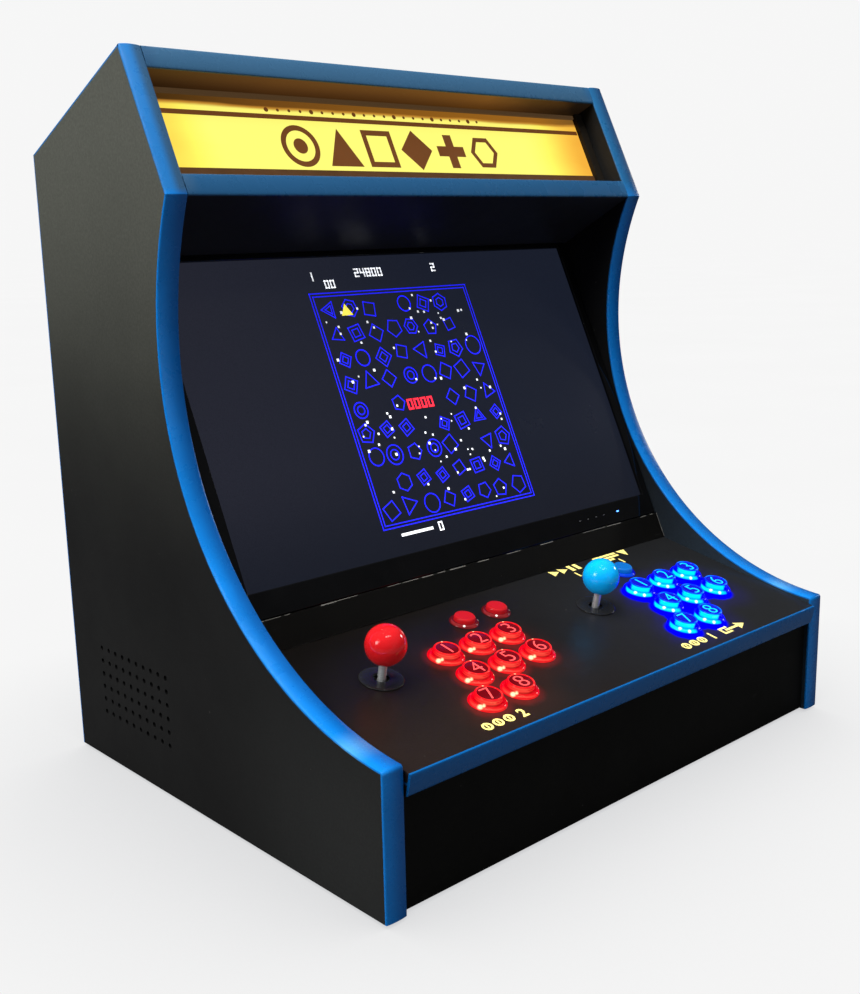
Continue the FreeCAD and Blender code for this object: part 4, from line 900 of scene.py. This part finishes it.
def glyph(name, text, size, depth, material, body, matrix, weight):
    """A numeral as a thin solid centred on the matrix; weight fattens its outline."""
    curve = bpy.data.curves.new(name, "FONT")
    curve.body = text
    curve.size = size * MM
    curve.align_x = "CENTER"
    curve.align_y = "CENTER"
    curve.extrude = depth * MM / 2
    curve.resolution_u = 6
    curve.offset = size * MM * weight
    source = bpy.data.objects.new(name + "_curve", curve)
    bpy.context.scene.collection.objects.link(source)
    bpy.context.view_layer.update()
    depsgraph = bpy.context.evaluated_depsgraph_get()
    mesh = bpy.data.meshes.new_from_object(source.evaluated_get(depsgraph))
    bpy.data.objects.remove(source)
    xs = [vert.co.x for vert in mesh.vertices]
    ys = [vert.co.y for vert in mesh.vertices]
    middle = Vector((min(xs) + max(xs), min(ys) + max(ys), 0)) / 2
    mesh.transform(Matrix.Translation(-middle))
    bm = bmesh.new()
    bm.from_mesh(mesh)
    bmesh.ops.remove_doubles(bm, verts=bm.verts, dist=1e-6)
    bmesh.ops.recalc_face_normals(bm, faces=bm.faces)
    bm.to_mesh(mesh)
    bm.free()
    mesh.name = name
    add_object(name, mesh, material, body, matrix)


# ------------------------------------------------------------------ T-moulding
# Front curve of the side panels: end points and handles, (y, z).
FRONT_CURVE = ((0.0, 123.0), (193.0, 136.0), (325.0, 332.0), HEAD_LOW)
CURVE_STEPS = 150
CORNER_RADII = {FRONT_CURVE[0]: 4.2, HEAD_LOW: 2.0, HEAD_TOP: 1.0, BACK_TOP: 1.4}
CORNER_CLEAR = 6.5    # plain points nearer a corner than this are dropped

# Left half of the moulding's cross-section: (across, depth below the outer line).
MOULDING_HALF = 9.98
STEM_TOP = 2.5
HALF_SECTION = [(-MOULDING_HALF, STEM_TOP), (-MOULDING_HALF, 1.45), (-9.86, 1.12),
                (-9.50, 0.86), (-8.7, 0.62), (-7.3, 0.40), (-5.4, 0.22), (-2.8, 0.06),
                (0.0, 0.0)]
SECTION = HALF_SECTION + [(-x, depth) for x, depth in reversed(HALF_SECTION[:-1])]


def bezier(t):
    weights = ((1 - t) ** 3, 3 * t * (1 - t) ** 2, 3 * t * t * (1 - t), t ** 3)
    return tuple(sum(w * point[axis] for w, point in zip(weights, FRONT_CURVE))
                 for axis in (0, 1))


def side_path():
    """Outer line of a side panel's moulding, (y, z), from the front foot up, over the head
    and down the back."""
    raw = [(0.0, z) for z in (3.0, 30.0, 60.0, 90.0)]
    raw += [bezier(i / CURVE_STEPS) for i in range(CURVE_STEPS + 1)]
    raw += [HEAD_TOP, BACK_TOP] + [(BACK_TOP[0], z) for z in (400.0, 200.0, 3.0)]
    path = []
    for i, point in enumerate(raw):
        key = min(CORNER_RADII, key=lambda corner: math.dist(corner, point))
        gap = math.dist(key, point)
        if gap > CORNER_CLEAR:
            path.append(point)
        if gap > 1e-6:
            continue
        corner, radius = Vector(point), CORNER_RADII[key]

        def heading(step):
            """Direction from the corner to a point a little way along the line."""
            k = i + step
            while (Vector(raw[k]) - corner).length < radius * 1.6:
                k += step
            return (Vector(raw[k]) - corner).normalized()

        back, ahead = heading(-1), heading(1)
        cut = radius / math.tan(math.acos(back.dot(ahead)) / 2)
        path += corner_curve(corner + back * cut, corner, corner + ahead * cut, steps=8)
    return path


def inset_path(path, depth):
    """The path shifted by depth square to its run, with mitred bends."""
    last = len(path) - 1
    shifted = []
    for i, point in enumerate(path):
        here = Vector(point)
        ahead = (Vector(path[min(i + 1, last)]) - here).normalized()
        before = (here - Vector(path[max(i - 1, 0)])).normalized() if i > 0 else ahead
        if i == last:
            ahead = before
        run = (before + ahead).normalized()
        normal = Vector((run.y, -run.x))
        stretch = 1.0 / max(0.5, normal.dot(Vector((before.y, -before.x))))
        shifted.append(tuple(here + normal * (depth * stretch)))
    return shifted


def side_trim(name, x_mid):
    path = side_path()
    n, rows = len(path), len(SECTION)
    verts = [(x_mid + x, y - MID_DEPTH, z)
             for x, depth in SECTION for y, z in inset_path(path, depth)]
    faces = []
    for a in range(rows):
        b = (a + 1) % rows
        for i in range(n - 1):
            faces.append((a * n + i, a * n + i + 1, b * n + i + 1, b * n + i))
    faces.append(tuple(a * n for a in range(rows)))
    faces.append(tuple(a * n + n - 1 for a in reversed(range(rows))))
    build(name, (verts, faces), "blue_t_moulding", replaces="edge_trims", slot="blue_edge",
          angle=50)


def bar_trim(name, half, mid, matrix, replaces):
    """Straight moulding along X on a board's front edge, with its stem in the board:
    local y is depth, z runs across the board, whose middle is at mid."""
    profile = [(depth, mid + x / MOULDING_HALF * BOARD / 2) for x, depth in SECTION]
    profile += [(STEM_TOP, mid + 1.0), (8.5, mid + 1.0), (8.5, mid - 1.0),
                (STEM_TOP, mid - 1.0)]
    rings = [[(half * share, y, z) for y, z in profile] for share in (-1, -0.5, 0, 0.5, 1)]
    build(name, skin(rings), "blue_t_moulding", matrix=matrix, replaces=replaces,
          slot="blue_edge", angle=50)


side_trim("edge_trim_left_cap", -285.0)
side_trim("edge_trim_right_cap", 285.0)
bar_trim("trim_control_panel", 273.5, -BOARD / 2, DECK, "panel_trims")
bar_trim("trim_soffit", 274.8, BOARD / 2, SOFFIT, "panel_trims")
bar_trim("trim_top", 274.8, -BOARD / 2, TOP, "panel_trims")

# ------------------------------------------------------------------ CAD pieces that stay
CAD_MATERIALS = {
    "black_laminate": ("side_panel_left", "side_panel_right", "rear_rails", "rear_door"),
    "front_panel_shaded_laminate": ("front_panel",),
    "deck_laminate": ("control_panel",),
    "sill_shaded_laminate": ("monitor_sill",),
    "soffit_reflection_laminate": ("marquee_soffit",),
    "head_board_laminate": ("top_panel",),
    "raw_fibreboard": ("base_panel", "frame_battens"),
    "shell_black": ("monitor_rear_shell",),
    "black_strip": ("marquee_retainers", "marquee_panel"),
    "lamp_white": ("marquee_light",),
    "zinc_steel": ("door_hinge_frame_leaves", "door_hinge_door_leaves", "door_turn_latch",
                   "joystick_bases", "screws", "joystick_left_pivot_ring",
                   "joystick_right_pivot_ring"),
    "switch_black": ("microswitches",),
    "speaker_black": ("speakers",),
    "circuit_green": ("computer_board", "encoder_boards"),
    "psu_grey": ("power_supply",),
    "foot_rubber": ("rubber_feet",),
    "cable_black": ("wiring_harness",),
    "bezel_gloss": ("monitor_bezel",),
    "lcd_face": ("monitor_screen",),
}
EASED_EDGES = {"front_panel": 0.6, "monitor_sill": 0.9, "marquee_soffit": 0.5,
               "rear_rails": 0.8, "rear_door": 0.8, "base_panel": 0.6}    # bevel width

for material, pieces in CAD_MATERIALS.items():
    for piece in pieces:
        slots = frame["nodes"][piece].data.materials
        slots.clear()
        slots.append(MATERIALS[material])

for piece, width in EASED_EDGES.items():
    bevel = frame["nodes"][piece].modifiers.new("eased_edges", "BEVEL")
    bevel.width = width * MM
    bevel.segments = 2
    bevel.limit_method = "ANGLE"
    bevel.angle_limit = math.radians(50)

# A bevelled lath on the upper rear rail shuts the slit under the sloping top.
# Its outline is (world y, z) and is extruded along X.
ACROSS = Matrix(((0, 0, 1, 0), (1, 0, 0, 0), (0, 1, 0, 0), (0, 0, 0, 1)))
LATH = [(212.5, 547.65), (223.5, 547.65), (222.2, 551.0), (212.5, 555.4)]
plates("rear_rail_lath", [LATH], -274.6, 274.6, "black_laminate", ACROSS)

# ------------------------------------------------------------------ push buttons
# Housing profiles: (radius, height above the deck).
HOUSING_LARGE = [
    (12.08, -22.0), (12.08, 2.6), (12.3, 3.1), (12.75, 3.38), (13.4, 3.40), (14.3, 3.05),
    (15.2, 2.45), (15.9, 1.70), (16.35, 0.95), (16.5, 0.35), (16.4, 0.06), (14.9, 0.05),
    (14.9, -23.8), (14.7, -24.0), (0.0, -24.0), (0.0, -22.0)]
HOUSING_SMALL = [
    (9.98, -22.0), (9.98, 2.1), (10.2, 2.55), (10.7, 2.78), (11.5, 2.72), (12.5, 2.25),
    (13.3, 1.5), (13.75, 0.8), (13.9, 0.35), (13.8, 0.06), (11.9, 0.05),
    (11.9, -23.8), (11.7, -24.0), (0.0, -24.0), (0.0, -22.0)]
# Upper plunger edges: (inset from the plunger radius, drop below the top).
CROWN_LARGE = [(0.0, 1.9), (0.10, 1.2), (0.38, 0.55), (0.85, 0.12), (1.25, 0.0),
               (1.6, 0.12), (1.85, 0.45), (1.95, 0.8), (12.0, 0.8)]
CROWN_SMALL = [(0.05, 1.9), (0.35, 0.8), (0.95, 0.2), (1.8, 0.02), (3.0, 0.0),
               (5.94, 0.03), (9.9, 0.03)]
BUTTON_SEGMENTS = 72


def plunger_profile(radius, cap, crown):
    profile = [(0.0, -PLUNGER_DEPTH), (radius - 0.4, -PLUNGER_DEPTH),
               (radius, 0.4 - PLUNGER_DEPTH), (radius, 3.2)]
    return profile + [(radius - inset, cap - drop) for inset, drop in crown]


def button(name):
    colour = name.split("_")[0]
    matrix = Matrix.Translation(PLACES[name]) @ DECK_TURN
    finish = {"matrix": matrix, "slot": colour + "_clear", "angle": 60}
    if is_small(name):
        housing, plunger = HOUSING_SMALL, plunger_profile(9.9, CAP_SMALL, CROWN_SMALL)
        clear, cap_material = "%s_dim_plastic" % colour, "cap_%s_plain" % colour
    else:
        housing, plunger = HOUSING_LARGE, plunger_profile(12.0, CAP_LARGE, CROWN_LARGE)
        clear = cap_material = "%s_lit_plastic" % colour
    build(name + "_housing", turned(housing, BUTTON_SEGMENTS), clear,
          replaces=colour + "_button_housings", **finish)
    build(name + "_plunger", turned(plunger, BUTTON_SEGMENTS), cap_material, name,
          replaces=name, **finish)
    if is_small(name):
        return
    well, top = 12.0 - 1.95, CAP_LARGE
    insert = [(0.0, top - 0.79), (well - 0.12, top - 0.79), (well - 0.12, top - 0.62),
              (well - 0.5, top - 0.55), (0.0, top - 0.52)]
    build(name + "_insert", turned(insert, BUTTON_SEGMENTS), "cap_%s_dark" % colour, name,
          **finish)
    glyph(name + "_numeral", name.split("_")[-1], 23.5, 0.24, "numeral_" + colour, name,
          at(matrix, 0, 0, top - 0.41), weight=-0.014)


DECK_TURN = Matrix.Rotation(math.radians(DECK_TILT), 4, "X")
for name in BUTTONS:
    button(name)

# ------------------------------------------------------------------ joysticks
BALL_RADIUS = 17.5
BALL_HEIGHT = 31.5     # ball centre above the deck
BALL_STEPS = 40
BALL_NECK = math.asin(5.4 / BALL_RADIUS)    # angle from straight down where the neck starts


def ball_profile():
    profile = [(0.0, BALL_HEIGHT - 13.9), (3.56, BALL_HEIGHT - 13.9),
               (5.0, BALL_HEIGHT - BALL_RADIUS * math.cos(BALL_NECK) + 0.12)]
    for i in range(BALL_STEPS + 1):
        a = BALL_NECK + (math.pi - BALL_NECK) * i / BALL_STEPS
        profile.append((BALL_RADIUS * math.sin(a), BALL_HEIGHT - BALL_RADIUS * math.cos(a)))
    return profile


# Turned profiles: (radius, height); the pin's is along its own axis.
SHAFT = [(0.0, -50.0), (5.6, -50.0), (6.0, -49.6), (6.0, -44.9), (5.0, -43.9), (3.5, -43.5),
         (3.5, BALL_HEIGHT - 14.6), (3.3, BALL_HEIGHT - 14.1), (0.0, BALL_HEIGHT - 14.1)]
PIN = [(0.0, -10.3), (1.3, -10.3), (1.5, -10.1), (1.5, 10.1), (1.3, 10.3), (0.0, 10.3)]
WASHER = [(6.5, 0.05), (18.2, 0.05), (18.8, 0.22), (19.0, 0.55), (18.85, 0.9), (18.3, 1.12),
          (17.4, 1.2), (9.0, 1.2), (6.9, 1.2), (6.6, 1.12), (6.5, 0.95)]


def joystick(side, ball):
    prefix = "joystick_%s_" % side
    stick = prefix + "stick"
    pivot = Vector(JOINTS[prefix + "fore_aft"]["pos_m"])
    matrix = Matrix.Translation(pivot + DECK_UP * (PIVOT_DEPTH * MM)) @ DECK_TURN
    build(prefix + "ball_top", turned(ball_profile(), 96), ball, stick, matrix,
          replaces=prefix + "ball", slot=ball, angle=40)
    build(prefix + "shaft_rod", turned(SHAFT, 64), "shaft_steel", stick, matrix,
          replaces=prefix + "shaft", slot="bright_steel", angle=40)
    pin_matrix = at(matrix, 0, 0, -PIVOT_DEPTH) @ Matrix.Rotation(math.radians(90), 4, "X")
    build(prefix + "cross_pin", turned(PIN, 32), "zinc_steel", stick, pin_matrix,
          slot="bright_steel", angle=35)
    build(prefix + "washer", turned(WASHER, 96), "washer_black", matrix=matrix,
          replaces="joystick_washers", slot="black_washer", angle=50)


joystick("left", "ball_red")
joystick("right", "ball_blue")


# ------------------------------------------------------------------ deck labels
def deck_labels():
    """Plain pictograms and digits on the deck."""
    signs = []
    for x in (-179.0, -167.0, -155.0, 79.0, 91.0, 103.0):    # rings with a bar inside
        signs += ring_quads(x, 17.0, 5.0, 2.9) + [rect(x - 0.9, 14.8, x + 0.9, 19.2)]
    signs += [  # open frame with an arrow
        rect(134.5, 11.8, 137.0, 22.2), rect(137.0, 11.8, 147.0, 14.2),
        rect(137.0, 19.8, 147.0, 22.2), rect(141.0, 15.6, 162.0, 18.4),
        [(160.0, 11.2), (171.0, 17.0), (160.0, 22.8)]]
    signs += [  # two triangles and two bars
        [(80.0, 180.0), (91.0, 185.5), (80.0, 191.0)],
        [(93.0, 180.0), (104.0, 185.5), (93.0, 191.0)],
        rect(107.0, 180.0, 112.0, 191.0), rect(116.0, 180.0, 121.0, 191.0)]
    signs += [  # three lines and a triangle
        rect(148.0, 187.6, 184.0, 190.8), rect(148.0, 182.8, 184.0, 186.0),
        rect(148.0, 178.0, 172.0, 181.2), [(188.0, 191.0), (201.0, 191.0), (194.5, 179.0)]]
    for word, digit, x, y, size in (("two", "2", -140.0, 17.0, 15.0),
                                    ("one", "1", 118.5, 17.0, 15.0),
                                    ("start", "1", 105.0, 172.0, 12.5),
                                    ("select", "1", 176.0, 172.5, 12.5)):
        glyph("label_digit_" + word, digit, size, 0.12, "label_yellow_painted_glow", "cabinet",
              at(DECK, x, y, 0.08), weight=0.03)
    plates("deck_labels", signs, 0.02, 0.14, "label_yellow_painted_glow", DECK)


deck_labels()

# ------------------------------------------------------------------ picture on the screen
COLUMNS, ROWS = 8, 9
CELL_W, CELL_H = 24.3, 24.9
LEFT, LOW = -98.0, 55.0
RIGHT, HIGH = LEFT + COLUMNS * CELL_W, LOW + ROWS * CELL_H
NUMBER_Y = 164.0    # height of the free place for the middle number


def picture_lines(rng):
    """Rows of outlined figures of random size, kind and turn, inside a double frame."""
    lines = []
    for column in range(COLUMNS):
        for row in range(ROWS):
            x = LEFT + (column + 0.5) * CELL_W + rng.uniform(-2.0, 2.0)
            y = LOW + (row + 0.5) * CELL_H + rng.uniform(-2.0, 2.0)
            sides = rng.choice((3, 4, 4, 5, 6, 28))
            radius = rng.uniform(7.8, 10.4)
            turn = rng.uniform(0.0, math.pi)
            double = rng.random() < 0.42
            in_middle = abs(x) < 34.0 and abs(y - NUMBER_Y) < 16.0
            if in_middle or rng.random() < 0.06:
                continue
            lines += line_round(polygon(x, y, radius, sides, turn), 1.15)
            if double:
                lines += line_round(polygon(x, y, radius * 0.52, sides, turn), 1.05)
    for gap in (1.4, 4.6):
        lines += line_round(rect(LEFT - gap, LOW - gap, RIGHT + gap, HIGH + gap), 1.1)
    return lines


def picture_specks(rng):
    """Scattered squares, score digits and a bar."""
    specks = []
    for _ in range(92):
        x, y = rng.uniform(LEFT + 3.0, RIGHT - 3.0), rng.uniform(LOW + 3.0, HIGH - 3.0)
        half = rng.choice((0.8, 1.1, 1.1, 1.4))
        if abs(x) > 32.0 or abs(y - NUMBER_Y) > 10.0:
            specks.append(rect(x - half, y - half, x + half, y + half))
    for text, x, y, height in (("1", -97.0, 297.0, 7.5), ("00", -80.0, 289.0, 7.0),
                               ("24800", -40.0, 299.0, 7.5), ("2", 62.0, 301.0, 7.5),
                               ("0", -36.0, 38.5, 7.5)):
        specks += seven_segment(text, x, y, height)
    return specks + [rect(-84.0, 40.8, -44.0, 43.6)]


picture_rng = random.Random(41)
plates("picture_lines", picture_lines(picture_rng), 0.03, 0.06, "pixel_blue", PICTURE)
plates("picture_specks", picture_specks(picture_rng), 0.07, 0.10, "pixel_white", PICTURE)
plates("picture_red_digits", seven_segment("0000", -26.0, 160.0, 9.0, weight=0.22),
       0.11, 0.14, "pixel_red", PICTURE)
plates("picture_marker", [[(-72.0, 260.0), (-58.0, 260.0), (-65.0, 272.0)]],
       0.11, 0.14, "pixel_yellow", PICTURE)

# ------------------------------------------------------------------ monitor bezel and sill wear
BEZEL_OUTER = (273.5, 0.2, 329.0)    # half width, bottom, top
BEZEL_INNER = (263.0, 23.7, 320.0)
# Rings from the outer back edge over the face to the inner back edge:
# (edge, shrink, height, corner radius).
BEZEL_RINGS = [
    (BEZEL_OUTER, 0.0, -3.0, 1.2), (BEZEL_OUTER, 0.0, -0.9, 1.2),
    (BEZEL_OUTER, 0.25, -0.35, 1.2), (BEZEL_OUTER, 0.8, -0.02, 1.2),
    (BEZEL_INNER, -0.9, -0.02, 0.9), (BEZEL_INNER, -0.3, -0.3, 0.7),
    (BEZEL_INNER, 0.0, -0.9, 0.6), (BEZEL_INNER, 0.0, -3.0, 0.6)]


def bezel():
    rings = []
    for (half, bottom, top), shrink, z, radius in BEZEL_RINGS:
        x = half - shrink
        corners = rect(-x, bottom + shrink, x, top - shrink)
        rings.append([(px, py, z) for px, py in rounded(corners, radius, steps=5)])
    build("monitor_bezel_frame", skin(rings, wrap=True), "bezel_gloss", matrix=BEZEL_FACE,
          replaces="monitor_bezel", slot="bezel_plastic", angle=18)


def edge_chips():
    """Broken pale line along the sill's edge."""
    rng = random.Random(7)
    end = 268.0
    chips = []
    x = -end
    while x < end:
        length = rng.uniform(5.0, 26.0)
        if rng.random() < 0.62:
            width = rng.uniform(0.35, 0.85)
            chips.append(rect(x, -0.45 - width, min(x + length, end), -0.45))
        x += length + rng.uniform(0.5, 7.0)
    return chips


bezel()
plates("sill_edge_chips", edge_chips(), 0.0, 0.06, "chipped_edge", SCREEN)
plates("sill_end_chip", [rect(274.2, -27.5, 274.7, -0.8)], 0.0, 0.06, "chipped_edge", SCREEN)
plates("monitor_power_light", [rounded(rect(211.6, 11.6, 215.2, 13.0), 0.5)], 0.02, 0.25,
       "power_light_blue", BEZEL_FACE)
TOUCH_MARKS = [rect(x, 12.0, x + 2.4, 12.5) for x in (150.0, 163.0, 176.0, 189.0)]
plates("monitor_touch_marks", TOUCH_MARKS, 0.0, 0.08, "touch_mark_grey", BEZEL_FACE)

# ------------------------------------------------------------------ marquee
SHEET_HALF = 274.4
SHEET_STEPS = 24
# Section of the sheet: (y up the sheet, z out of its face).
SHEET_SECTION = [(20.0, -3.0), (20.0, -0.25), (20.25, 0.0), (65.0, 0.0), (110.75, 0.0),
                 (111.0, -0.25), (111.0, -3.0)]


def marquee_sheet():
    stations = [-SHEET_HALF + 2 * SHEET_HALF * i / SHEET_STEPS for i in range(SHEET_STEPS + 1)]
    rings = [[(x, y, z) for y, z in SHEET_SECTION] for x in stations]
    build("marquee_sheet", skin(rings), "marquee_lit_yellow", matrix=MARQUEE,
          replaces="marquee_panel", slot="marquee_acrylic", angle=30)


def retainer(name, outlines, radius, height, material):
    """Strips in front of the sheet."""
    plates(name, [rounded(outline, radius) for outline in outlines], 0.12, height, material,
           MARQUEE, replaces="marquee_retainers", slot="black_strip", angle=30)


def marquee_art():
    """A rule, a row of plain shapes and a row of dots."""
    y = 62.0    # middle of the row of shapes
    art = [rect(-263.0, 87.6, 263.0, 92.2)]
    art += ring_quads(-125.0, y, 20.5, 15.2, 48) + [polygon(-125.0, y, 7.5, 44)]
    art += [[(-97.0, 43.0), (-59.0, 43.0), (-78.0, 81.0)]]
    art += [rect(-50.0, 43.0, -14.0, 48.5), rect(-50.0, 75.5, -14.0, 81.0),
            rect(-50.0, 48.5, -44.5, 75.5), rect(-19.5, 48.5, -14.0, 75.5)]
    art += [[(14.0, 41.0), (34.0, y), (14.0, 83.0), (-6.0, y)]]
    art += [rect(42.0, 56.5, 78.0, 67.5), rect(54.5, 44.0, 65.5, 56.5),
            rect(54.5, 67.5, 65.5, 80.0)]
    art += ring_quads(106.0, y, 19.0, 13.5, 6)
    for k in range(22):
        art.append(polygon(-150.0 + 12.4 * k, 96.6, 1.5 if k % 4 else 2.3, 16))
    plates("marquee_art", art, 0.02, 0.10, "marquee_brown_ink", MARQUEE)


marquee_sheet()
# The high and low strips carry painted light from the lit sheet.
retainer("retainer_strip_high", [rect(-263.3, 106.0, 263.3, 110.0)], 0.4, 2.55, "strip_warm_painted_light")
retainer("retainer_strip_low", [rect(-263.3, 20.2, 263.3, 37.8)], 0.4, 1.55, "strip_brown_painted_light")
retainer("retainer_strips_side", [rect(-274.7, 20.2, -263.8, 110.9),
                                  rect(263.8, 20.2, 274.7, 110.9)], 0.5, 5.05, "black_strip")
marquee_art()


# ------------------------------------------------------------------ floor, world, lights, camera
def make_floor():
    bm = bmesh.new()
    bmesh.ops.create_grid(bm, x_segments=8, y_segments=8, size=60.0)
    mesh = bpy.data.meshes.new("floor")
    bm.to_mesh(mesh)
    bm.free()
    floor = bpy.data.objects.new("floor", mesh)
    floor.location = (0, 0, -0.0002)
    bpy.context.scene.collection.objects.link(floor)
    mesh.materials.append(MATERIALS["studio_floor"])


# Bright discs seen only in reflections: (direction, cosine at full, cosine at edge, power).
REFLECTED_LAMPS = (
    ((-0.912, 0.070, 0.398), 0.9950, 0.9850, 5.0),
    ((-0.85, -0.10, 0.52), 0.9985, 0.9950, 3.0),
    ((-0.234, -0.41, 0.88), 0.9990, 0.9972, 7.0),
    ((-0.05, -0.46, 0.885), 0.9992, 0.9978, 6.0),
    ((0.10, -0.50, 0.86), 0.9994, 0.9982, 5.0),
    ((0.935, -0.18, 0.30), 0.9975, 0.9945, 8.0))


def make_world():
    """Pale to the camera, a dim fill for diffuse light, a sky with lamps for reflections."""
    world = bpy.data.worlds.new("studio")
    bpy.context.scene.world = world
    world.use_nodes = True
    g = Graph(world.node_tree, "OutputWorld")
    v = g.coord("Generated")
    seen = g.field("Background", {"Color": (0.924, 0.924, 0.924)})
    fill = g.field("Background", {"Color": (0.86, 0.93, 1.0), "Strength": 0.11})
    sky = g.mix(g.axes(v)[2].soft(-0.1, 0.9), (0.010, 0.011, 0.012), (0.085, 0.090, 0.098))
    for direction, full, edge, power in REFLECTED_LAMPS:
        cosine = g.vector("DOT_PRODUCT", v, Vector(direction).normalized())
        sky = g.mix(cosine.soft(edge, full), sky, (power, power, power * 0.97))
    gloss = g.field("Background", {"Color": sky})
    rays = g.node("LightPath")
    is_glossy = Field(g, rays.outputs["Is Glossy Ray"])
    is_camera = Field(g, rays.outputs["Is Camera Ray"])
    unseen = g.field("MixShader", {0: is_glossy, 1: fill, 2: gloss})
    g.finish(g.field("MixShader", {0: is_camera, 1: unseen, 2: seen}))


# Square area lights: (name, place, target, size, power, colour).
LIGHTS = (
    ("overhead", (-0.15, -0.12, 2.0), (0, -0.05, 0.3), 1.2, 68, (1.0, 0.99, 0.97)),
    ("front_fill", (0.1, -2.4, 0.50), (0, 0, 0.25), 1.4, 15, (0.98, 0.99, 1.0)),
    ("back_fill", (0.7, 2.3, 1.3), (0, 0, 0.3), 1.2, 75, (0.97, 0.98, 1.0)),
    ("right_fill", (2.4, 0.6, 1.0), (0, 0, 0.3), 1.0, 14, (0.97, 0.98, 1.0)),
    ("key_left", (-2.2, 0.10, 1.45), (0, 0, 0.3), 1.1, 62, (1.0, 0.99, 0.97)))


def make_light(name, place, target, size, power, colour):
    light = bpy.data.lights.new(name, "AREA")
    light.shape = "RECTANGLE"
    light.size = size
    light.size_y = size
    light.energy = power
    light.color = colour
    lamp = bpy.data.objects.new(name, light)
    bpy.context.scene.collection.objects.link(lamp)
    lamp.location = place
    aim = Vector(target) - Vector(place)
    lamp.rotation_euler = aim.to_track_quat("-Z", "Y").to_euler()
    lamp.visible_glossy = False
    lamp.visible_camera = False


def make_camera():
    """Looks at the cabinet from the front left, slightly above."""
    lens = bpy.data.cameras.new("camera")
    camera = bpy.data.objects.new("camera", lens)
    bpy.context.scene.collection.objects.link(camera)
    right = Vector((0.73392102, -0.67894479, -0.01984692))
    up = Vector((0.16031202, 0.14475099, 0.97639501))
    forward = Vector((0.66004545, 0.71977852, -0.2150788))
    turn = Matrix((right, up, -forward)).transposed().to_4x4()
    camera.matrix_world = Matrix.Translation((-0.80337201, -0.83803740, 0.49490494)) @ turn
    lens.sensor_width = 36.0
    lens.lens = 44.1102495
    lens.clip_start = 0.02
    bpy.context.scene.camera = camera


make_floor()
make_world()
for light in LIGHTS:
    make_light(*light)
make_camera()

scene = bpy.context.scene
scene.view_settings.view_transform = "Standard"
scene.view_settings.look = "None"
scene.cycles.use_denoising = True
scene.cycles.max_bounces = 8
scene.cycles.sample_clamp_indirect = 4.0
